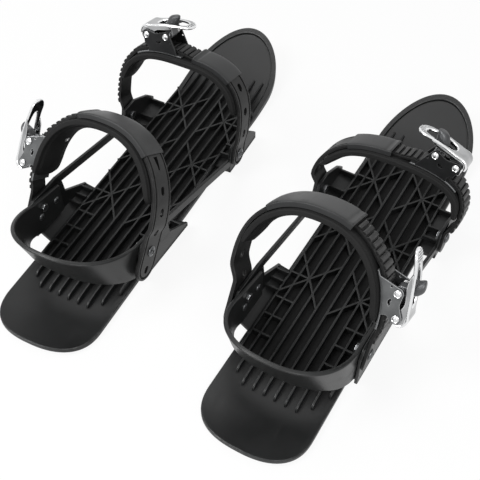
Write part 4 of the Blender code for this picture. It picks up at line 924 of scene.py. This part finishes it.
def liner_rivet(strap):
    """Small flat rivet that shows on the liner's inner face near the buckle."""
    rivet = turned([(0, 0.0001), (0.0010, 0.0001), (0.0013, 0.0008), (0.0021, 0.0009), (0.0027, 0.0005),
                    (0.0028, -0.0006), (0, -0.0030)], 24)
    spot = strap.seat(0.0583) @ Matrix.Translation((0, 0.0035, -LINER_THICKNESS - 0.0017))
    moved(rivet, strap.stand @ spot @ Matrix.Rotation(math.pi, 4, "X"))
    finished(rivet, strap.prefix + "liner", "spring_steel", name=strap.prefix + "liner_rivet")


def cover(strap):
    """Folded sleeve over the meeting ends of strap and ladder, crowned, with a rolled end by the ladder."""
    centre, length = strap.size["cover"]
    inside = LADDER_THICKNESS + TOOTH_HEIGHT + 2 * CLEARANCE
    half = strap.size["half"] + COVER_OVERHANG - COVER_WALL
    low, high = centre - length / 2, centre + length / 2

    def at(u, v):
        c, d = math.cos(math.pi * u), math.sin(math.pi * u)
        across = -half * signed(c, 0.18)
        s = low + (high - low) * v
        crown = 0.0004 * (1 - (across / half) ** 2)
        roll = 0.0007 * swell(high - s - 0.0014, 0.0011) - 0.0005 * swell(high - s - 0.0050, 0.0014)
        return Vector((s, across, inside * abs(d) ** 0.14 + (crown + roll) * abs(d) ** 0.5))

    sleeve = closed(worked(grid_of(64, 120, at), "SOLIDIFY", thickness=COVER_WALL, offset=1))
    worked(sleeve, "BEVEL", width=0.0004, segments=2, limit_method="ANGLE", angle_limit=math.radians(50))
    finished(strap.wrapped(sleeve), strap.prefix + "cover", "cover_plastic", 50)


def ladder(strap):
    """Toothed strap from under the cover, through the buckle and down to the outer ear."""
    start, end = strap.size["cover"][0] + CLEARANCE, strap.pivot + 0.0150
    toothed = strap.pivot - TOOTHLESS_END
    band = plate([strip_outline(start, end, LADDER_HALF, round_start=False, round_end=True),
                  circle((strap.pivot, 0), BOLT_HOLE)], LADDER_THICKNESS, 0.0004, raised(LADDER_THICKNESS / 2))
    # Painted shade: the band's top between the teeth is darkened
    marked(band, lambda points: 0.9 * (points[:, 2] > LADDER_THICKNESS / 2) * (points[:, 0] < toothed))
    pieces = [band]
    foot, top = LADDER_THICKNESS - 0.0008, LADDER_THICKNESS + TOOTH_HEIGHT
    for k in range(math.ceil((start + 0.0012) / TOOTH_PITCH) + 1, int(toothed / TOOTH_PITCH) + 1):
        tip = k * TOOTH_PITCH
        profile = [(tip - 0.0043, foot), (tip - 0.0043, LADDER_THICKNESS),
                   (tip - 0.0036, LADDER_THICKNESS + 0.75 * TOOTH_HEIGHT), (tip - 0.0026, top), (tip - 0.0002, top),
                   (tip, LADDER_THICKNESS), (tip, foot)]
        pieces.append(plate([profile], 2 * LADDER_HALF - 0.0010, 0.00035, upright()))
    piece = sliced(joined(pieces), np.arange(start + 0.002, end, 0.0028))

    def rise(points):
        away = np.maximum(np.maximum(strap.span[0] - points[:, 0], points[:, 0] - strap.span[1]), 0)
        lift = (BASE_THICKNESS + CLEARANCE) * np.clip(1 - away / 0.010, 0, 1)
        return points + np.outer(lift, (0, 0, 1))

    finished(strap.wrapped(reshaped(piece, rise)), strap.prefix + "ladder", "ladder_plastic")


def buckle_base(strap, seat):
    """Curved plate under the ladder with two folded cheeks, each with a lobe round both pins."""
    height, pin = strap.size["pin_height"], PIN_SPACING / 2
    start, end = strap.span
    floor = plate([strip_outline(start, end, BUCKLE_HALF, round_start=False)], BASE_THICKNESS, 0.0004,
                  raised(BASE_THICKNESS / 2))
    strap.wrapped(sliced(floor, np.arange(start + 0.002, end, 0.002)))
    inverse = seat.inverted()
    foot = [inverse @ (strap.seat(s) @ Vector((0, 0, BASE_THICKNESS / 2)))
            for s in np.linspace(start + 0.004, end - 0.013, 16)]
    outline = [(spot.x, spot.z) for spot in foot]
    outline += arc((outline[-1][0] + 0.0030, outline[-1][1] + 0.0036), 0.0034, 200, 80, 7)
    outline += arc((pin, height), 0.0047, -50, 105, 14)
    outline += smooth_line([(pin - 0.0050, height + 0.0034), (0, height + 0.0022),
                            (-pin + 0.0036, height + 0.0037)], 7)
    outline += arc((-pin, height), 0.0045, 75, 140, 7)
    crescent = (-0.0020, height - 0.0040)
    holes = [circle((pin, height), PIN_HOLE), circle((-pin, height), PIN_HOLE),
             circle((-pin - 0.0050, height - 0.0052), 0.0009, 14),
             arc(crescent, 0.0034, 200, 320, 9) + arc(crescent, 0.0017, 320, 200, 7)]
    pieces = [floor]
    for side in (-1, 1):
        cheek = plate([outline] + holes, CHEEK, 0.0004, upright(side * (BUCKLE_HALF - CHEEK / 2)))
        # Painted shade: the toe buckle's cheeks are darkened all over, the ankle buckle's are not
        marked(cheek, lambda points: np.full(len(points), strap.size["cheek_painted_shade"]))
        pieces.append(moved(cheek, strap.stand @ seat))
    finished(joined(pieces), strap.prefix + "buckle_base", "buckle_steel")


def lever_line(length):
    """Middle line of the lever's plate from its free tip over the pin to its curled end."""
    crest = LEVER_RISE + LEVER_BOW
    points = [(-length, crest - LEVER_DROP), (-length + 0.0060, crest - LEVER_DROP / 2), (-length / 2, crest),
              (-length / 4, LEVER_RISE + LEVER_BOW / 2), (-LEVER_CURL / 2, LEVER_RISE)]
    return smooth_line(points + arc((0, LEVER_RISE - LEVER_CURL), LEVER_CURL, 75, 0, 6) + [(LEVER_CURL, 0.0004)], 120)


def lever_sheet(size):
    """Bowed plate with a long window and grip bars across its tip."""
    length = size["lever"]
    line = lever_line(length)
    places = np.concatenate([[0], np.cumsum([math.dist(a, b) for a, b in zip(line, line[1:])])])
    reach = float(places[-1])
    tip_half = lever_half * size["tip_share"]

    def half_at(x):
        """Half width along the lever from its tip."""
        return tip_half + (lever_half - tip_half) * eased(min(1.0, max(x - tip_half, 0) / (0.50 * length)))

    xs = np.linspace(tip_half, reach, 30)
    outline = [(x, -half_at(x)) for x in xs] + [(x, half_at(x)) for x in xs[::-1]]
    outline += arc((tip_half, 0), tip_half, 90, 270, 25)[1:-1]
    low, high = size["tip_bar"], length - LEVER_WINDOW_END
    window = []
    for a in np.linspace(0, 2 * math.pi, 56, endpoint=False):
        x = (low + high) / 2 + (high - low) / 2 * signed(math.cos(a), 0.80)
        taper = size["window_share"] + (1 - size["window_share"]) * (x - low) / (high - low)
        window.append((x, (half_at(x) - LEVER_FRAME) * taper * signed(math.sin(a), 0.75)))
    pieces = [plate([outline, window], LEVER_PLATE, 0.00125, rounds=2)]
    first, pitch, count = size["grip"]
    for k in range(count):
        x = first + pitch * k
        half = math.sqrt(tip_half ** 2 - (tip_half - x) ** 2) - 0.0022
        place = Matrix.Translation((x, 0, LEVER_PLATE / 2)) @ Matrix.Rotation(math.pi / 2, 4, "Z")
        pieces.append(plate([strip_outline(-half, half, 0.0006, round_end=True)], 0.0012, 0.0003, place))
    return bent(sliced(joined(pieces), np.arange(0.0008, reach, 0.0010)), places, line)


def pull_lever(strap, pin):
    """Chrome lever: its bowed plate, a flange down each side and a toothed hub round the pin."""
    length = strap.size["lever"]
    pieces = [lever_sheet(strap.size)]
    crest, flange_end = LEVER_RISE + LEVER_BOW, -length * 0.66
    flange = smooth_line([(flange_end, crest - LEVER_DROP / 4), (flange_end + 0.0050, crest - 0.0030),
                          (flange_end + 0.0120, 0.0058), (-0.0100, 0.0046), (-0.0052, 0.0010)], 16)
    flange += arc((0, 0), LEVER_HUB, 190, 350, 12)
    flange += [(0.0056, 0.0030), (0.0040, LEVER_RISE - 0.0020), (-LEVER_CURL / 2, LEVER_RISE),
               (-length / 4, LEVER_RISE + LEVER_BOW / 2), (-length / 2, crest)]
    for side in (-1, 1):
        place = upright(side * (lever_half - 0.0008))
        pieces.append(plate([flange, circle((0, 0), PIN_HOLE)], 0.0013, 0.0004, place))
    claw = strap.size["pin_height"] - CLAW_GAP
    teeth = arc((0, 0), LEVER_HUB, 0, 180, 12)
    for k in range(9):
        radius, angle = claw - (0.0016 if k % 2 == 0 else 0.0), math.radians(228 + 84 * k / 8)
        teeth.append((radius * math.cos(angle), radius * math.sin(angle)))
    pieces.append(plate([teeth, circle((0, 0), PIN_HOLE)], 0.0150, 0.0003, upright()))
    finished(moved(joined(pieces), pin), strap.prefix + "lever", "lever_chrome")


def release_tab(strap, pin):
    """Thumb dome on a neck, with its hub and the holding pawl below."""
    low = PAWL_GAP - strap.size["pin_height"]
    outline = arc((0, 0), TAB_HUB, 180, 290, 9)
    outline += [(0.0056, low), (0.0072, low + 0.0020), (TAB_HUB, 0.0020), (0.0030, 0.0062), (-0.0030, 0.0062)]
    hub = plate([outline, circle((0, 0), PIN_HOLE)], 0.0110, 0.0005, upright())

    def at(u, v):
        k = 1 - (1 - v) ** 1.6
        share = (math.sqrt(max(1 - k ** 2.6, 0.0)) * 0.98 + 0.02) * (0.62 + 0.38 * min(1.0, v / 0.10))
        c, s = math.cos(2 * math.pi * u), math.sin(2 * math.pi * u)
        return Vector((0.0066 * share * signed(c, 1.18) - 0.0070 * k, 0.0056 * share * signed(s, 1.18),
                       0.0046 + 0.0134 * math.sin(k * math.pi / 2)))

    dome = shell_of(56, 40, at)
    finished(moved(joined([hub, dome]), pin), strap.prefix + "release_tab", "tab_grey", 30)


def buckle_pin(strap, name, pin):
    """Rivet pin with a domed head in a flat ring at both ends."""
    half = BUCKLE_HALF + CLEARANCE
    dome = [(0.0023 * math.sin(a), half + 0.0003 + 0.0010 * math.cos(a)) for a in np.linspace(0, math.pi / 2, 8)]
    head = dome + [(0.0025, half + 0.0002), (0.0029, half + 0.0004), (0.0031, half + 0.0001), (PIN_RADIUS, half)]
    piece = turned(head + [(radius, -z) for radius, z in reversed(head)])
    piece.data.transform(Matrix.Rotation(math.pi / 2, 4, "X"))
    finished(moved(piece, pin), strap.prefix + name, "pin_steel")


def return_spring(strap, pin):
    """Three coils of wire round the release pin with both ends led off to one side."""
    turns, points = 3, 24
    radius = PIN_RADIUS + CLEARANCE + WIRE / 2 + 0.0002
    start = 0.0055 + CLEARANCE + WIRE / 2
    path = [(-0.0040, start, radius)]
    for k in range(turns * points + 1):
        a = math.pi / 2 - 2 * math.pi * k / points
        path.append((radius * math.cos(a), start + 0.0014 * k / points, radius * math.sin(a)))
    path.append((-0.0040, path[-1][1], path[-1][2]))
    curve = bpy.data.curves.new("wire", "CURVE")
    curve.dimensions = "3D"
    curve.bevel_depth = WIRE / 2
    curve.bevel_resolution = 2
    curve.use_fill_caps = True
    finished(moved(drawn(curve, [path], False), pin), strap.prefix + "return_spring", "spring_steel", 60)


def strap_bolts(strap):
    size, outward = strap.size, HANDS[strap.side]
    for name, way, thickness in (("strap_bolt", -outward, STRAP_THICKNESS),
                                 ("ladder_bolt", outward, LADDER_THICKNESS)):
        seat = size["wall"] + thickness + 2 * CLEARANCE
        bolt = fastener(0.0050, 0.0022, seat - size["inner"] + CLEARANCE, 0.0042, 0.0028)
        moved(bolt, board_stand(strap.side) @ turned_to_x(way, way * seat, *size["pivot"][1:]))
        finished(bolt, strap.prefix + name, "bolt_steel")


def binding(side, kind):
    strap = Strap(side, kind)
    adjusting_strap(strap)
    padded_liner(strap)
    if kind == "ankle":
        liner_rivet(strap)
    cover(strap)
    ladder(strap)
    seat, height = strap.seat(strap.size["buckle"]), strap.size["pin_height"]
    buckle_base(strap, seat)
    lever_pin, tab_pin = [strap.stand @ seat @ Matrix.Translation((x, 0, height))
                          for x in (PIN_SPACING / 2, -PIN_SPACING / 2)]
    pull_lever(strap, lever_pin)
    release_tab(strap, tab_pin)
    buckle_pin(strap, "lever_pin", lever_pin)
    buckle_pin(strap, "release_pin", tab_pin)
    return_spring(strap, tab_pin)
    strap_bolts(strap)


# Energy, size and place
LAMPS = {"key_lamp": (22, 0.8, (-0.8, -0.9, 1.4)), "fill_lamp": (13, 0.8, (0.9, -0.9, 1.2)),
         "top_lamp": (4, 0.7, (-0.35, 0.25, 1.3))}
WHITE = (1, 1, 1, 1)


def studio():
    """White floor and world, three soft lamps and the camera."""
    floor = primitive(bpy.ops.mesh.primitive_plane_add, size=6, location=(0, 0, -0.0004))
    floor.name = "studio_floor"
    white = Finish("studio_white")
    matte = white.node("ShaderNodeBsdfDiffuse", {}, {"Color": (0.80, 0.80, 0.80, 1)})
    glow = white.node("ShaderNodeEmission", {}, {"Color": WHITE, "Strength": 1.0})
    mix = white.node("ShaderNodeMixShader", {}, {0: white.seen() * 0.90, 1: matte, 2: glow})
    floor.data.materials.append(white.end(mix))
    scene.world = bpy.data.worlds.new("studio_world")
    sky = Nodes(scene.world)
    pale, bright = [sky.node("ShaderNodeBackground", {}, {"Color": WHITE, "Strength": strength})
                    for strength in (0.30, 1.0)]
    mix = sky.node("ShaderNodeMixShader", {}, {0: sky.seen(), 1: pale, 2: bright})
    sky.node("ShaderNodeOutputWorld", {}, {"Surface": mix})
    for name, (energy, size, spot) in LAMPS.items():
        lamp = bpy.data.lights.new(name, "AREA")
        lamp.energy = energy
        lamp.size = size
        aim = (-Vector(spot)).to_track_quat("-Z", "Y").to_matrix().to_4x4()
        linked(lamp).matrix_world = Matrix.Translation(spot) @ aim
    lens = bpy.data.cameras.new("camera")
    lens.sensor_width = 36
    lens.lens = 65.33
    camera = linked(lens)
    camera.location = (0.25324, -0.48713, 0.63699)
    camera.rotation_euler = (0.687894, 0, 0.497338)
    scene.camera = camera
    scene.view_settings.view_transform = "Standard"


studio()
for side in ("left", "right"):
    deck(side)
    heel_loop(side)
    heel_bolts(side)
    for kind in ("ankle", "toe"):
        binding(side, kind)
